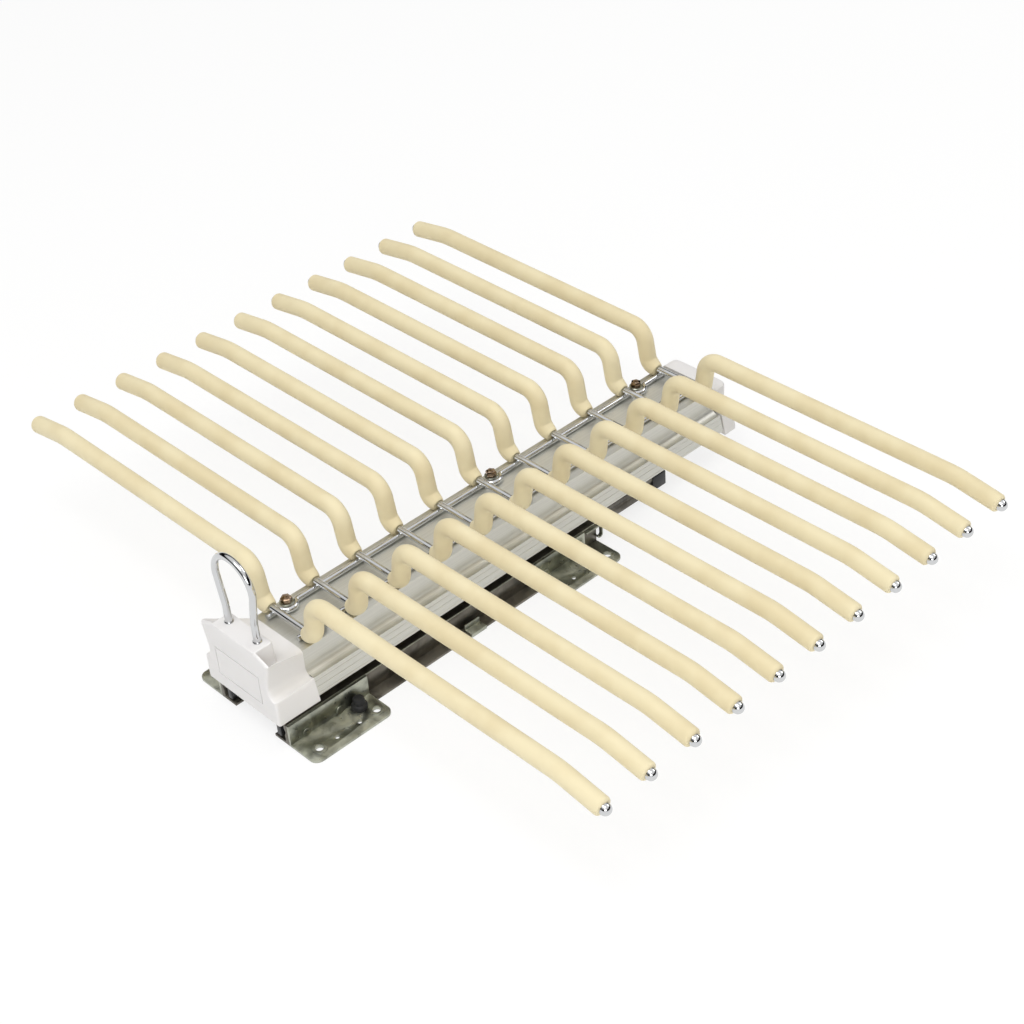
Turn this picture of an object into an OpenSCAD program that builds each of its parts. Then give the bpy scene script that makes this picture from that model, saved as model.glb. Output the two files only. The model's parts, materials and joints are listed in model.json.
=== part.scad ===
// Pull-out trouser rack: two rows of sleeved arms on a sliding aluminium beam
// It stands on its four brackets, with the handle towards -Y
// The origin is the centre of the mounting face, under the middle row of arms

/* [Rows of arms] */
// Number of cross rods, each with an arm on both sides
row_count = 11; // [3:2:11]
// Distance from one cross rod to the next
row_pitch = 30; // [26:1:40]
// Diameter of the bent steel rod
rod_d = 4; // [3:0.5:5]
// Outer diameter of the soft sleeve
sleeve_d = 10.5; // [9:0.5:14]
// Gap all round between the rod and the sleeve's bore
sleeve_gap = 0.1; // [0.05:0.05:0.3]
// Distance of a sleeve's end from the centre line
arm_reach = 232; // [160:1:260]
// Height of the arms over the cross rods
arm_rise = 24; // [20:1:40]
// Lean of the riser away from upright, in degrees
riser_lean = 12; // [0:1:25]
// Radius of the bend at the riser's foot
foot_bend_r = 7; // [6:0.5:9]
// Radius of the bend at the riser's top
top_bend_r = 10; // [8:0.5:12]
// Straight length of arm past the tip bend
tip_run = 24; // [10:1:50]
// Angle by which an arm's tip turns down, in degrees
tip_drop = 9.5; // [2:0.5:20]
// Radius of the tip bend
tip_bend_r = 60; // [40:1:90]
// Radius that rounds the sleeve's outer end
sleeve_nose_r = 1.8; // [1:0.1:2.5]
// Diameter of the chrome end cap
tip_cap_d = 6.8; // [5:0.1:7.5]
// Length of the end cap's straight neck
tip_neck = 0.8; // [0.4:0.1:2]
// Length of rod that sits in an end cap's socket
tip_socket = 1.2; // [0.8:0.1:2]

/* [Ladder wires and clamps] */
// Distance of a side wire from the centre line
wire_x = 13; // [11:0.5:14]
// Radius of the bow round a clamp screw
bow_r = 5; // [4:0.5:5]
// Radius of the bends that lead into a bow
bow_blend_r = 2.5; // [2:0.5:4]
// Angle by which the wire turns into a bow, in degrees
bow_turn = 65; // [50:1:75]
// Distance of a clamp screw from the row before it
clamp_offset = 9.5; // [9:0.5:11]
// Diameter of a clamp screw's shank
clamp_screw_d = 3.6; // [3:0.1:4]
// Length of shank under the washer
clamp_screw_len = 10; // [8:1:14]
// Width of a clamp screw's head across its flats
clamp_head_w = 5.6; // [5:0.1:6.5]
// Height of a clamp screw's head
clamp_head_h = 3.4; // [2:0.1:4.5]
// Diameter of a clamp washer
washer_d = 8; // [7.5:0.1:8.6]
// Thickness of a clamp washer
washer_t = 0.8; // [0.5:0.1:1.2]

/* [Beam] */
// Width of the beam at its base
beam_w = 59; // [54:1:66]
// Width of the beam's flat top
beam_top_w = 41; // [38:1:44]
// Height of the beam
beam_h = 26; // [24:1:34]
// Thickness of the beam's walls
beam_wall = 1.8; // [1.4:0.1:2.2]
// Radius of the hollow along each side of the beam
side_hollow_r = 4.2; // [3:0.1:5]
// Length of beam in front of the first row
beam_front = 8; // [7:0.5:14]
// Length of beam behind the last row
beam_rear = 9.5; // [7:0.5:14]

/* [End caps and handle] */
// Depth of the front cap
front_cap_len = 27.8; // [24:0.1:36]
// Height of the front cap's face over its skirt
front_cap_h = 41.5; // [38:0.5:46]
// Width of the front cap at its foot
front_cap_w = 60.4; // [59:0.1:68]
// Height by which the caps' skirts hang below the beam
skirt_h = 3; // [1:0.5:4]
// Depth of the rear cap
rear_cap_len = 13; // [10:0.5:18]
// Width of the raised handle block
block_w = 36; // [34:1:40]
// Depth of the raised handle block
block_len = 12.8; // [11:0.1:15]
// Height of the block over the front cap's face
block_rise = 2.1; // [1.5:0.1:4]
// Radius of the block's rear corners
block_corner_r = 4; // [2:0.5:5]
// Thickness of the front cap's face plate, which stands up beside the block
plate_t = 2.4; // [2:0.1:3]
// Width of the bare label panel
panel_w = 36; // [30:1:38]
// Height of the bare label panel
panel_h = 17.5; // [14:0.5:18]
// Width of the fine groove round the label panel
panel_groove_w = 0.7; // [0.4:0.1:1.2]
// Depth of the groove round the label panel
panel_groove_t = 0.6; // [0.3:0.1:1]
// Diameter of the handle's rod
handle_d = 4; // [3:0.5:5]
// Distance between the handle's two legs at their feet
handle_w = 24; // [20:1:26]
// Width of the handle's bow, between the middles of the rod
handle_bow_w = 30.8; // [28:0.2:34]
// Height of the handle over its block
handle_h = 49.8; // [46:0.2:60]
// Angle by which the handle's legs spread towards the bow, in degrees
handle_flare = 10; // [8:1:14]
// Radius of the bend where a leg starts to spread
flare_bend_r = 12; // [8:1:16]
// Diameter of the collar at a leg's foot
collar_d = 5.2; // [4.6:0.1:6]
// Height of the collar at a leg's foot
collar_h = 0.8; // [0.5:0.1:1.5]

/* [Slide] */
// Width of the fixed rail
rail_w = 58; // [56:1:62]
// Height of the fixed rail
rail_h = 14; // [13:0.5:16]
// Length of the fixed rail
rail_len = 230; // [200:5:260]
// Distance of the fixed rail's front end from the front of the beam
rail_front = 23; // [18:1:24]
// Thickness of the fixed rail's web and lips
rail_t = 1.5; // [1.2:0.1:2]
// Thickness of the fixed rail's side walls
rail_wall = 2.7; // [2.4:0.1:3.2]
// Width of the foot along each side of the fixed rail
rail_foot = 7.5; // [5:0.5:9]
// Diameter of the bearing balls
ball_d = 5; // [4:0.5:5]
// Distance between balls in a row
ball_pitch = 12; // [8:1:16]
// Clearance between a ball and its race
race_gap = 0.15; // [0.1:0.05:0.2]
// Height of the balls over the mounting face
ball_z = 8.5; // [8:0.1:8.8]
// Thickness of the ball cages
cage_t = 0.8; // [0.6:0.1:1]
// Length of the middle rail
middle_len = 269; // [240:1:280]
// Thickness of the middle rail's flanges
middle_wall = 2.5; // [2.3:0.1:2.9]
// Length of the inner rail
inner_len = 266; // [240:1:280]
// Length of a plastic buffer on the middle rail's front end
front_buffer_len = 16; // [10:1:17]
// Length of a plastic buffer on the middle rail's rear end
rear_buffer_len = 11; // [8:1:16]
// Diameter of the rivets that hold the inner rail to the beam
beam_rivet_d = 4; // [3:0.5:5]

/* [Brackets] */
// Length of a bracket along the rail
bracket_len = 54; // [50:1:60]
// Width of a bracket's flange
bracket_w = 22; // [20:0.5:26]
// Thickness of the bracket sheet
bracket_t = 1.5; // [1.2:0.1:2]
// Corner radius of a bracket's flange
bracket_corner_r = 5; // [2:0.5:8]
// Distance of the screw holes from the rail's side
hole_x = 14.6; // [12:0.1:15]
// Distance of the first screw hole from a bracket's front end
hole_y = 8.5; // [7:0.5:10]
// Distance between a bracket's two screw holes
hole_pitch = 39.5; // [36:0.5:40]
// Diameter of the screw holes
screw_hole_d = 4.5; // [4:0.1:5.5]
// Diameter of the small locating holes
small_hole_d = 2.6; // [2:0.1:3]
// Distance between a bracket's two locating holes
small_hole_pitch = 15.5; // [12:0.5:20]
// Diameter of the bracket rivets
rivet_d = 3; // [2.5:0.1:3.4]
// Diameter of the rubber stop on each front bracket
stop_d = 9; // [7:0.5:10]
// Height of the rubber stop
stop_h = 7; // [5:0.5:9]
// Length of the small clip on each foot of the fixed rail
clip_len = 11; // [8:0.5:14]
// Height of the clip's inner lip over the foot
clip_h = 4; // [3:0.5:5]
// Thickness of the clips and the hooks
clip_t = 0.9; // [0.7:0.1:1.2]
// Length of the curled hook at the fixed rail's rear end
hook_len = 13; // [10:0.5:16]
// Height of the curled hook
hook_h = 9; // [7:0.5:10]
// Width of the strip that the hook is bent from
hook_w = 2.4; // [2:0.1:3]

/* [Hidden] */
$fn = 48;
overrun = 1;
fine_gap = 0.1;
seat_gap = 0.05;
bend_swell = 0.03;
lap = 0.2;
left = -1;
right = 1;
half_share = 0.5;

// Rows
middle_row_share = (row_count - 1) / 2;
function row_y(row) = (row - 1 - middle_row_share) * row_pitch;
function two_digits(row) = row < 10 ? str("0", row) : str(row);
function row_name(stem, row) = str(stem, "_", two_digits(row));
first_row_y = row_y(1);
last_row_y = row_y(row_count);

// Beam
beam_y0 = first_row_y - beam_front;
beam_y1 = last_row_y + beam_rear;
beam_gap = 6;
beam_z = rail_h + beam_gap;
beam_top_z = beam_z + beam_h;
beam_half = beam_w / 2;
beam_top_half = beam_top_w / 2;
side_hollow_share = 0.56;
side_hollow_z = beam_z + beam_h * side_hollow_share;
side_hollow_x = beam_top_half + side_hollow_r - fine_gap;
ridge_angle = 57;
ridge_x = side_hollow_x + side_hollow_r * cos(ridge_angle);
ridge_z = side_hollow_z - side_hollow_r * sin(ridge_angle);
line_depth = 0.4;
line_h = 0.5;
line_z_share = 0.36;
web_x = 7.5;
chamber_foot_share = 1.2;
chamber_ridge_share = 0.9;
chamber_top_share = 0.4;

// Wires and rods
rod_r = rod_d / 2;
sleeve_r = sleeve_d / 2;
sleeve_lift = 0.15;
wire_d = sleeve_r - rod_r + sleeve_lift;
wire_r = wire_d / 2;
wire_z = beam_top_z + wire_r + 2 * bend_swell;
rod_z = wire_z + wire_r + rod_r;
wire_tail = 4.5;
bow_half = (bow_r + bow_blend_r) * sin(bow_turn);
clamp_x = wire_x - bow_blend_r + (bow_r + bow_blend_r) * cos(bow_turn);
clamp_rows = [1, (row_count + 1) / 2, row_count - 1];
washer_r = washer_d / 2;
dome_share = 0.33;
bow_bar_r = wire_r + 2 * bend_swell;
washer_z = wire_z + sqrt(bow_bar_r * bow_bar_r - (bow_r - washer_r) * (bow_r - washer_r)) + bend_swell;
function clamp_y(row) = row_y(row) + clamp_offset;

// Arms
sleeve_start = wire_x + wire_r + fine_gap;
foot_run = 0.6;
riser_x = sleeve_start + foot_run;
riser_angle = 90 - riser_lean;
riser_run = (arm_rise - (foot_bend_r + top_bend_r) * (1 - cos(riser_angle))) / sin(riser_angle);
riser_foot = [riser_x + foot_bend_r * sin(riser_angle), foot_bend_r * (1 - cos(riser_angle))];
riser_head = riser_foot + riser_run * [cos(riser_angle), sin(riser_angle)];
arm_x = riser_head[0] + top_bend_r * sin(riser_angle);
tip_bend_x = arm_reach - tip_run * cos(tip_drop) - tip_bend_r * sin(tip_drop);
tip_run_x = tip_bend_x + tip_bend_r * sin(tip_drop);
tip_run_z = arm_rise - tip_bend_r * (1 - cos(tip_drop));
tip_z = tip_run_z - tip_run * sin(tip_drop);

// Caps and handle
cap_y0 = beam_y0 - front_cap_len;
cap_foot_z = beam_z - skirt_h;
face_top_z = cap_foot_z + front_cap_h;
face_half = front_cap_w / 2;
cap_lip = 0.3;
cap_edge_r = 1.6;
rear_edge_r = 4;
cap_steps = 6;
edge_turn = 22.5;
hollow_turn = 24.6;
crown_shares = [0.62, 0.92];
brow_share = 0.04;
hollow_lip_share = 0.6;
cap_wall = 2.4;
block_top_z = face_top_z + block_rise;
block_draft = 1.2;
block_foot_share = 0.35;
block_wall = 1.5;
panel_rise = 18.5;
panel_z = cap_foot_z + panel_rise;
handle_set = 7.6;
handle_y = cap_y0 + handle_set;
leg_depth = 20;
leg_x = handle_w / 2;
handle_bow_r = handle_bow_w / 2;
handle_bow_z = handle_h - handle_d / 2 - handle_bow_r;
flare_x = leg_x + flare_bend_r * (1 - cos(handle_flare));
flare_run = (handle_bow_r * cos(handle_flare) - flare_x) / sin(handle_flare);
flare_z = handle_bow_z - handle_bow_r * sin(handle_flare) - flare_run * cos(handle_flare);
leg_h = flare_z - flare_bend_r * sin(handle_flare);
nut_w = 7;
nut_h = 3.2;
nut_play = 0.5;
pocket_z = block_top_z - leg_depth + nut_h + fine_gap;
pocket_len = 11.5;
tongue_len = 12;
tongue_gap = 0.2;

// Rails, measured outwards from the centre line
rail_half = rail_w / 2;
rail_y0 = beam_y0 - rail_front;
rail_y1 = rail_y0 + rail_len;
ball_r = ball_d / 2;
race_r = ball_r + race_gap;
race_set = 2;
outer_race_set = 1.8;
outer_ball_x = rail_half - rail_wall - outer_race_set;
middle_out_x = outer_ball_x - race_set;
middle_in_x = middle_out_x - middle_wall;
inner_ball_x = middle_in_x - race_set;
inner_out_x = inner_ball_x - race_set;
inner_wall = 2.2;
inner_in_x = inner_out_x - inner_wall;
lip_w = 5.2;
web_gap = 0.4;
cage_web_t = 0.6;
outer_cage_z = rail_t + web_gap;
middle_z = outer_cage_z + cage_web_t + web_gap;
inner_cage_z = middle_z + rail_t + web_gap;
inner_z = inner_cage_z + cage_web_t + web_gap;
middle_h = rail_h - middle_z - rail_t;
cage_top_z = ball_z + race_r + fine_gap;
middle_y0 = rail_y0 + front_buffer_len;
middle_y1 = middle_y0 + middle_len;
inner_set = 2;
inner_y0 = beam_y0 + inner_set;
inner_y1 = inner_y0 + inner_len;
cage_len_share = 0.5;
cage_len = rail_len * cage_len_share;
outer_cage_set = 60;
inner_cage_set = 75;
outer_cage_y = middle_y0 + outer_cage_set;
inner_cage_y = middle_y0 + inner_cage_set;
ball_count = floor((cage_len - ball_pitch) / ball_pitch);
notch_w = 34;
notch_len = 18;
buffer_lip = 0.5;
beam_rivet_shares = [0.1, 0.5, 0.9];
beam_rivet_head = 7;
beam_rivet_head_t = 1.3;

// Brackets
hole_boss_w = 1.8;
hole_boss_r = screw_hole_d / 2 + hole_boss_w;
hole_boss_h = 0.6;
small_hole_y = hole_y + (hole_pitch - small_hole_pitch) / 2;
dimple_r = 2.4;
dimple_t = 0.5;
rivet_z = 4;
rivet_head_d = 5;
rivet_head_t = 0.8;
rivet_grip = 1.6;
rivet_shares = [0.2, 0.62];
stop_y_share = 0.8;
foot_gap = 0.3;
bracket_x = rail_half + seat_gap;
bracket_starts = [rail_y0, rail_y1 - bracket_len];
front_upright_share = 1;
rear_upright_share = 0.8;
stop_x = bracket_x + bracket_t + stop_d / 2 + fine_gap;

// Clips and hooks on the fixed rail
clip_set = 2;
clip_x = rail_half + clip_set;
clip_edge_x = rail_half + rail_foot + seat_gap;
clip_y_share = 0.535;
clip_y = rail_y0 + rail_len * clip_y_share;
hook_bend_r = 2.2;
hook_room = 1;
hook_z = rail_h - hook_h - hook_room;
hook_y = rail_y1 - bracket_len * (1 - rear_upright_share) + hook_room;

// Colours
sleeve_colour = "#E6D9B5";
chrome_colour = "#C8CCD0";
cap_colour = "#DEDCDA";
aluminium_colour = "#B9B6A6";
zinc_colour = "#9FA391";
slide_colour = "#4A4843";
bronze_colour = "#6B5846";
rubber_colour = "#26262A";

// Places a child on the left or the right side
module on_side(side) {
    if (side == left) mirror([1, 0, 0]) children();
    else children();
}

// Stands a section drawn in X and Z along the Y axis
module along_y(y0, y1) {
    translate([0, y1, 0])
        rotate([90, 0, 0])
        linear_extrude(y1 - y0)
        children();
}

// Both halves of a section
module both_halves() {
    children();
    mirror([1, 0, 0]) children();
}

// Quarter turn of a round bar, drawn in the XY plane about the origin
module bend(d, bend_r, start, turn) {
    rotate([0, 0, start])
        rotate_extrude(angle = turn)
        translate([bend_r, 0])
        circle(d = d);
}

// Bend in the XZ plane about a centre given as X and Z, a touch fuller than the runs
module arm_bend(d, bend_r, centre, start, turn) {
    translate([centre[0], 0, centre[1]])
        rotate([90, 0, 0])
        bend(d + 2 * bend_swell, bend_r, start, turn);
}

// Straight bar in the XZ plane from a point, rising by an angle, with laps into its bends
module arm_run(d, point, rise_angle, run, lap_before, lap_after) {
    translate([point[0], 0, point[1]])
        rotate([0, 90 - rise_angle, 0])
        translate([0, 0, -lap_before])
        cylinder(d = d, h = run + lap_before + lap_after);
}

// Round bar along one arm, from start_x to the end of its tip
module arm_path(d, start_x, extra) {
    foot_centre = [riser_x, foot_bend_r];
    head_centre = riser_head + top_bend_r * [sin(riser_angle), -cos(riser_angle)];
    tip_centre = [tip_bend_x, arm_rise - tip_bend_r];
    translate([0, 0, rod_z]) {
        arm_run(d, [start_x, 0], 0, riser_x - start_x, 0, lap);
        arm_bend(d, foot_bend_r, foot_centre, -90, riser_angle);
        arm_run(d, riser_foot, riser_angle, riser_run, lap, lap);
        arm_bend(d, top_bend_r, head_centre, 90, riser_angle);
        arm_run(d, [arm_x, arm_rise], 0, tip_bend_x - arm_x, lap, lap);
        arm_bend(d, tip_bend_r, tip_centre, 90 - tip_drop, tip_drop);
        arm_run(d, [tip_run_x, tip_run_z], -tip_drop, tip_run + extra, lap, 0);
    }
}

// Places a child at the sleeve's outer end, with +Z along the arm
module at_tip() {
    translate([arm_reach, 0, rod_z + tip_z])
        rotate([0, 90 + tip_drop, 0])
        children();
}

// Cross rod with both arms, bent from one bar
module arm_rod(row) {
    color(chrome_colour)
        translate([0, row_y(row), 0]) {
            arm_path(rod_d, 0, tip_socket - seat_gap);
            mirror([1, 0, 0]) arm_path(rod_d, 0, tip_socket - seat_gap);
        }
}

// Rounded outer end of a sleeve, a touch slimmer than the run that it laps into
module sleeve_nose() {
    nose_r = sleeve_nose_r - bend_swell;
    flat_r = sleeve_r - sleeve_nose_r;
    rotate_extrude() {
        translate([0, -lap]) square([flat_r + nose_r, lap]);
        square([flat_r, nose_r]);
        translate([flat_r, 0]) intersection() {
            circle(nose_r);
            square(nose_r);
        }
    }
}

// Soft sleeve from the side wire to the arm's end
module sleeve(side, row) {
    color(sleeve_colour)
        translate([0, row_y(row), 0])
        on_side(side)
        difference() {
            union() {
                arm_path(sleeve_d, sleeve_start, -sleeve_nose_r);
                at_tip() translate([0, 0, bend_swell - sleeve_nose_r]) sleeve_nose();
            }
            arm_path(rod_d + 2 * sleeve_gap, sleeve_start - overrun, overrun);
        }
}

// Chrome dome with a socket for the rod's end
module tip_cap() {
    cap_r = tip_cap_d / 2;
    socket_r = rod_r + seat_gap;
    rotate_extrude() difference() {
        union() {
            square([cap_r, tip_neck]);
            translate([0, tip_neck]) intersection() {
                circle(cap_r);
                square(cap_r);
            }
        }
        square([socket_r, tip_socket]);
    }
}

module tip_caps() {
    color(chrome_colour)
        for (row = [1:row_count], side = [left, right])
            translate([0, row_y(row), 0]) on_side(side) at_tip() tip_cap();
}

// Straight stretch of side wire, with a lap into the bow at either end
module wire_run(y0, y1) {
    translate([wire_x, y0 - lap, wire_z])
        rotate([-90, 0, 0])
        cylinder(d = wire_d, h = y1 - y0 + 2 * lap);
}

// Bow of the side wire round a clamp screw, a touch fuller at each further bend
module wire_bow(y) {
    blend_x = wire_x - bow_blend_r;
    blend_d = wire_d + 2 * bend_swell;
    bow_d = wire_d + 4 * bend_swell;
    lap_turn = lap / bow_blend_r * 180 / PI;
    translate([blend_x, y - bow_half, wire_z]) bend(blend_d, bow_blend_r, 0, bow_turn + lap_turn);
    translate([clamp_x, y, wire_z]) bend(bow_d, bow_r, 180 - bow_turn, 2 * bow_turn);
    translate([blend_x, y + bow_half, wire_z])
        bend(blend_d, bow_blend_r, -bow_turn - lap_turn, bow_turn + lap_turn);
}

// Side wire with a bow at each clamp screw
module side_wire(side) {
    ends = concat([first_row_y - wire_tail], [for (row = clamp_rows) clamp_y(row) + bow_half]);
    starts = concat([for (row = clamp_rows) clamp_y(row) - bow_half], [last_row_y + wire_tail]);
    color(chrome_colour)
        on_side(side) {
            for (i = [0:len(ends) - 1]) wire_run(ends[i], starts[i]);
            for (row = clamp_rows) wire_bow(clamp_y(row));
        }
}

// Places a child at each clamp screw
module at_clamps() {
    for (row = clamp_rows, side = [left, right])
        translate([side * clamp_x, clamp_y(row), washer_z]) children();
}

module clamp_washers() {
    color(zinc_colour)
        at_clamps() difference() {
            cylinder(r = washer_r, h = washer_t);
            translate([0, 0, -overrun])
                cylinder(d = clamp_screw_d + 2 * seat_gap, h = washer_t + 2 * overrun);
        }
}

// Six-sided head with a domed top over a plain shank
module clamp_screws() {
    dome_h = clamp_head_h * dome_share;
    color(bronze_colour)
        at_clamps() translate([0, 0, washer_t]) {
            cylinder(d = clamp_head_w / cos(30), h = clamp_head_h - dome_h, $fn = 6);
            translate([0, 0, clamp_head_h - dome_h])
                cylinder(d1 = clamp_head_w, d2 = clamp_head_w * half_share, h = dome_h);
            translate([0, 0, -clamp_screw_len]) cylinder(d = clamp_screw_d, h = clamp_screw_len);
        }
}

// Right half of the beam's outline, in X and Z
module beam_half_outline() {
    line_z = beam_z + beam_h * line_z_share;
    line_x = beam_half - (beam_half - ridge_x) * (line_z - beam_z) / (ridge_z - beam_z);
    difference() {
        polygon([
            [0, beam_z],
            [beam_half, beam_z],
            [line_x, line_z],
            [ridge_x, ridge_z],
            [ridge_x, side_hollow_z],
            [side_hollow_x - side_hollow_r, side_hollow_z],
            [beam_top_half, beam_top_z],
            [0, beam_top_z]
        ]);
        translate([side_hollow_x, side_hollow_z]) circle(side_hollow_r);
        translate([line_x - line_depth, line_z - line_h]) square([overrun, line_h]);
    }
}

// Right half of the beam's inner chambers
module beam_half_chambers() {
    low_z = beam_z + beam_wall;
    high_z = beam_top_z - beam_wall;
    inner_top = side_hollow_x - side_hollow_r - beam_wall;
    shoulder_z = side_hollow_z - side_hollow_r - beam_wall;
    translate([0, low_z]) square([web_x, high_z - low_z]);
    polygon([
        [web_x + beam_wall, low_z],
        [beam_half - chamber_foot_share * beam_wall, low_z],
        [ridge_x - chamber_ridge_share * beam_wall, shoulder_z],
        [side_hollow_x - side_hollow_r, shoulder_z],
        [inner_top, side_hollow_z - chamber_top_share * side_hollow_r],
        [inner_top, high_z],
        [web_x + beam_wall, high_z]
    ]);
}

// Places a child at each rivet between the inner rail and the beam
module at_beam_rivets() {
    for (share = beam_rivet_shares)
        translate([0, inner_y0 + inner_len * share, beam_z]) children();
}

module beam() {
    color(aluminium_colour)
        difference() {
            along_y(beam_y0, beam_y1) difference() {
                both_halves() beam_half_outline();
                both_halves() beam_half_chambers();
            }
            at_beam_rivets() translate([0, 0, -overrun])
                cylinder(d = beam_rivet_d + 2 * seat_gap, h = beam_wall + 2 * overrun);
            for (row = clamp_rows, side = [left, right])
                translate([side * clamp_x, clamp_y(row), beam_top_z - beam_wall - overrun])
                    cylinder(d = clamp_screw_d + 2 * seat_gap, h = beam_wall + 2 * overrun);
        }
}

// Right half of the cap's outline where it meets the beam, from the top down
function cap_rear_half() = [
    [beam_top_half * crown_shares[0], beam_top_z + 2 * cap_lip],
    [beam_top_half * crown_shares[1], beam_top_z + cap_lip],
    [beam_top_half + cap_lip, beam_top_z - beam_h * brow_share],
    [side_hollow_x - side_hollow_r + cap_lip, side_hollow_z + side_hollow_r * hollow_lip_share],
    for (angle = [180:hollow_turn:180 + 5 * hollow_turn])
        [side_hollow_x, side_hollow_z] + (side_hollow_r - cap_lip) * [cos(angle), sin(angle)],
    [ridge_x + cap_lip, ridge_z],
    [beam_half + cap_lip, cap_foot_z + skirt_h * half_share],
    [beam_half + cap_lip * half_share, cap_foot_z]
];

// Shares of the face plate's half width and height, in the same order
plate_top_shares = [[0.60, 1.04], [0.80, 0.995]];
valley_shares = [[0.61, 0.713], [0.80, 0.80]];
face_side_shares = [
    [0.935, 0.955],
    [0.86, 0.72],
    [0.825, 0.56], [0.835, 0.49], [0.875, 0.43], [0.93, 0.40], [0.975, 0.385], [0.985, 0.375],
    [0.99, 0.36],
    [1.0, 0.05],
    [0.99, 0]
];
function cap_front_half(top_shares) = [
    for (s = concat(top_shares, face_side_shares)) [face_half * s[0], cap_foot_z + front_cap_h * s[1]]
];

function mix(a, b, t) = a * (1 - t) + b * t;
function reversed(list) = [for (i = [len(list) - 1:-1:0]) list[i]];
function loop_of(half) = concat(half, [for (i = [len(half) - 1:-1:0]) [-half[i][0], half[i][1]]]);
function inset_point(p, inset, centre_z, size) = [
    p[0] * (1 - inset / size),
    centre_z + (p[1] - centre_z) * (1 - inset / size)
];

// Triangles that close a symmetric ring of n points, in bands from side to side
function end_faces(n, first, flip) = [
    for (i = [0:n / 2 - 2])
        each flip
            ? [[n - 1 - i, n - 2 - i, i + 1], [n - 1 - i, i + 1, i]]
            : [
                [first + i, first + i + 1, first + n - 2 - i],
                [first + i, first + n - 2 - i, first + n - 1 - i]
            ]
];

// Closed skin through a list of rings, each a list of X and Z with its own Y
module loft(rings, ys) {
    n = len(rings[0]);
    points = [for (k = [0:len(rings) - 1], p = rings[k]) [p[0], ys[k], p[1]]];
    last = (len(rings) - 1) * n;
    sides = [
        for (k = [0:len(rings) - 2], i = [0:n - 1])
            each [
                [k * n + i, k * n + (i + 1) % n, (k + 1) * n + i],
                [k * n + (i + 1) % n, (k + 1) * n + (i + 1) % n, (k + 1) * n + i]
            ]
    ];
    polyhedron(points, concat(end_faces(n, 0, true), sides, end_faces(n, last, false)));
}

// Rings that round over an outline's far edge
function edge_rings(outline, edge_r, centre_z, size) = [
    for (angle = [edge_turn:edge_turn:90])
        [for (p = outline) inset_point(p, edge_r * (1 - cos(angle)), centre_z, size)]
];
function edge_steps(edge_r) = [for (angle = [edge_turn:edge_turn:90]) edge_r * sin(angle)];

// Slab that squares off a cap where it meets the beam
module square_off(y) {
    translate([-front_cap_w, y, 0]) cube([2 * front_cap_w, 2 * overrun, 2 * face_top_z]);
}

// Cap body from the beam's outline to the back of the face plate, and the plate before it
module front_cap_skin() {
    rear = loop_of(cap_rear_half());
    valley = loop_of(cap_front_half(valley_shares));
    face = loop_of(cap_front_half(plate_top_shares));
    centre_z = cap_foot_z + front_cap_h * half_share;
    run = front_cap_len - plate_t;
    edge_y = cap_y0 + cap_edge_r;
    body_rings = [
        for (k = [0:cap_steps])
            [for (i = [0:len(rear) - 1]) mix(rear[i], valley[i], k / cap_steps)]
    ];
    body_ys = [for (k = [0:cap_steps]) beam_y0 - run * k / cap_steps];
    edge_ys = [for (step = edge_steps(cap_edge_r)) edge_y - step];
    rings = concat([rear], body_rings, [face], edge_rings(face, cap_edge_r, centre_z, face_half));
    difference() {
        loft(rings, concat([beam_y0 + overrun], body_ys, [edge_y], edge_ys));
        square_off(beam_y0);
    }
}

// Raised block that carries the handle
module handle_block() {
    half_w = block_w / 2;
    rear_y = cap_y0 + block_len;
    foot_z = face_top_z - front_cap_h * block_foot_share;
    block_h = block_top_z - foot_z;
    hull() {
        for (side = [left, right]) {
            translate([side * (half_w - block_corner_r), rear_y - block_corner_r, foot_z])
                cylinder(r1 = block_corner_r + block_draft, r2 = block_corner_r, h = block_h, $fn = 32);
            translate([side * (half_w - cap_edge_r), cap_y0 + cap_edge_r, foot_z])
                cylinder(r = cap_edge_r, h = block_h, $fn = 32);
        }
    }
}

// Fine groove round the bare label panel
module panel_groove() {
    translate([0, cap_y0 + panel_groove_t, panel_z])
        rotate([90, 0, 0])
        linear_extrude(panel_groove_t + overrun)
        difference() {
            square([panel_w + 2 * panel_groove_w, panel_h + 2 * panel_groove_w], center = true);
            square([panel_w, panel_h], center = true);
        }
}

// Tongue that plugs into the beam's middle chamber
module cap_tongue(y0, y1) {
    tongue_w = web_x - tongue_gap;
    low_z = beam_z + beam_wall + tongue_gap;
    high_z = beam_top_z - beam_wall - tongue_gap;
    translate([-tongue_w, y0, low_z]) cube([2 * tongue_w, y1 - y0, high_z - low_z]);
}

// Places a child at each leg of the handle, where it leaves the block's top
module at_legs() {
    for (side = [left, right])
        on_side(side) translate([leg_x, handle_y, block_top_z]) children();
}

// Bend of the handle about a centre in X over the block's top, a touch fuller than the runs
module handle_bend(d, bend_r, centre_x, centre_z, start, turn) {
    translate([centre_x, handle_y, block_top_z + centre_z])
        rotate([90, 0, 0])
        bend(d + 2 * bend_swell, bend_r, start, turn);
}

// Bent bar of the handle, with its feet at depth below the block's top
module handle_bar(d, depth) {
    at_legs() translate([0, 0, -depth]) cylinder(d = d, h = leg_h + depth + lap);
    at_legs() translate([flare_x - leg_x, 0, flare_z])
        rotate([0, handle_flare, 0])
        translate([0, 0, -lap])
        cylinder(d = d, h = flare_run + 2 * lap);
    for (side = [left, right])
        on_side(side)
            handle_bend(d, flare_bend_r, leg_x + flare_bend_r, leg_h, 180 - handle_flare, handle_flare);
    handle_bend(d, handle_bow_r, 0, handle_bow_z, -handle_flare, 180 + 2 * handle_flare);
}

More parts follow.
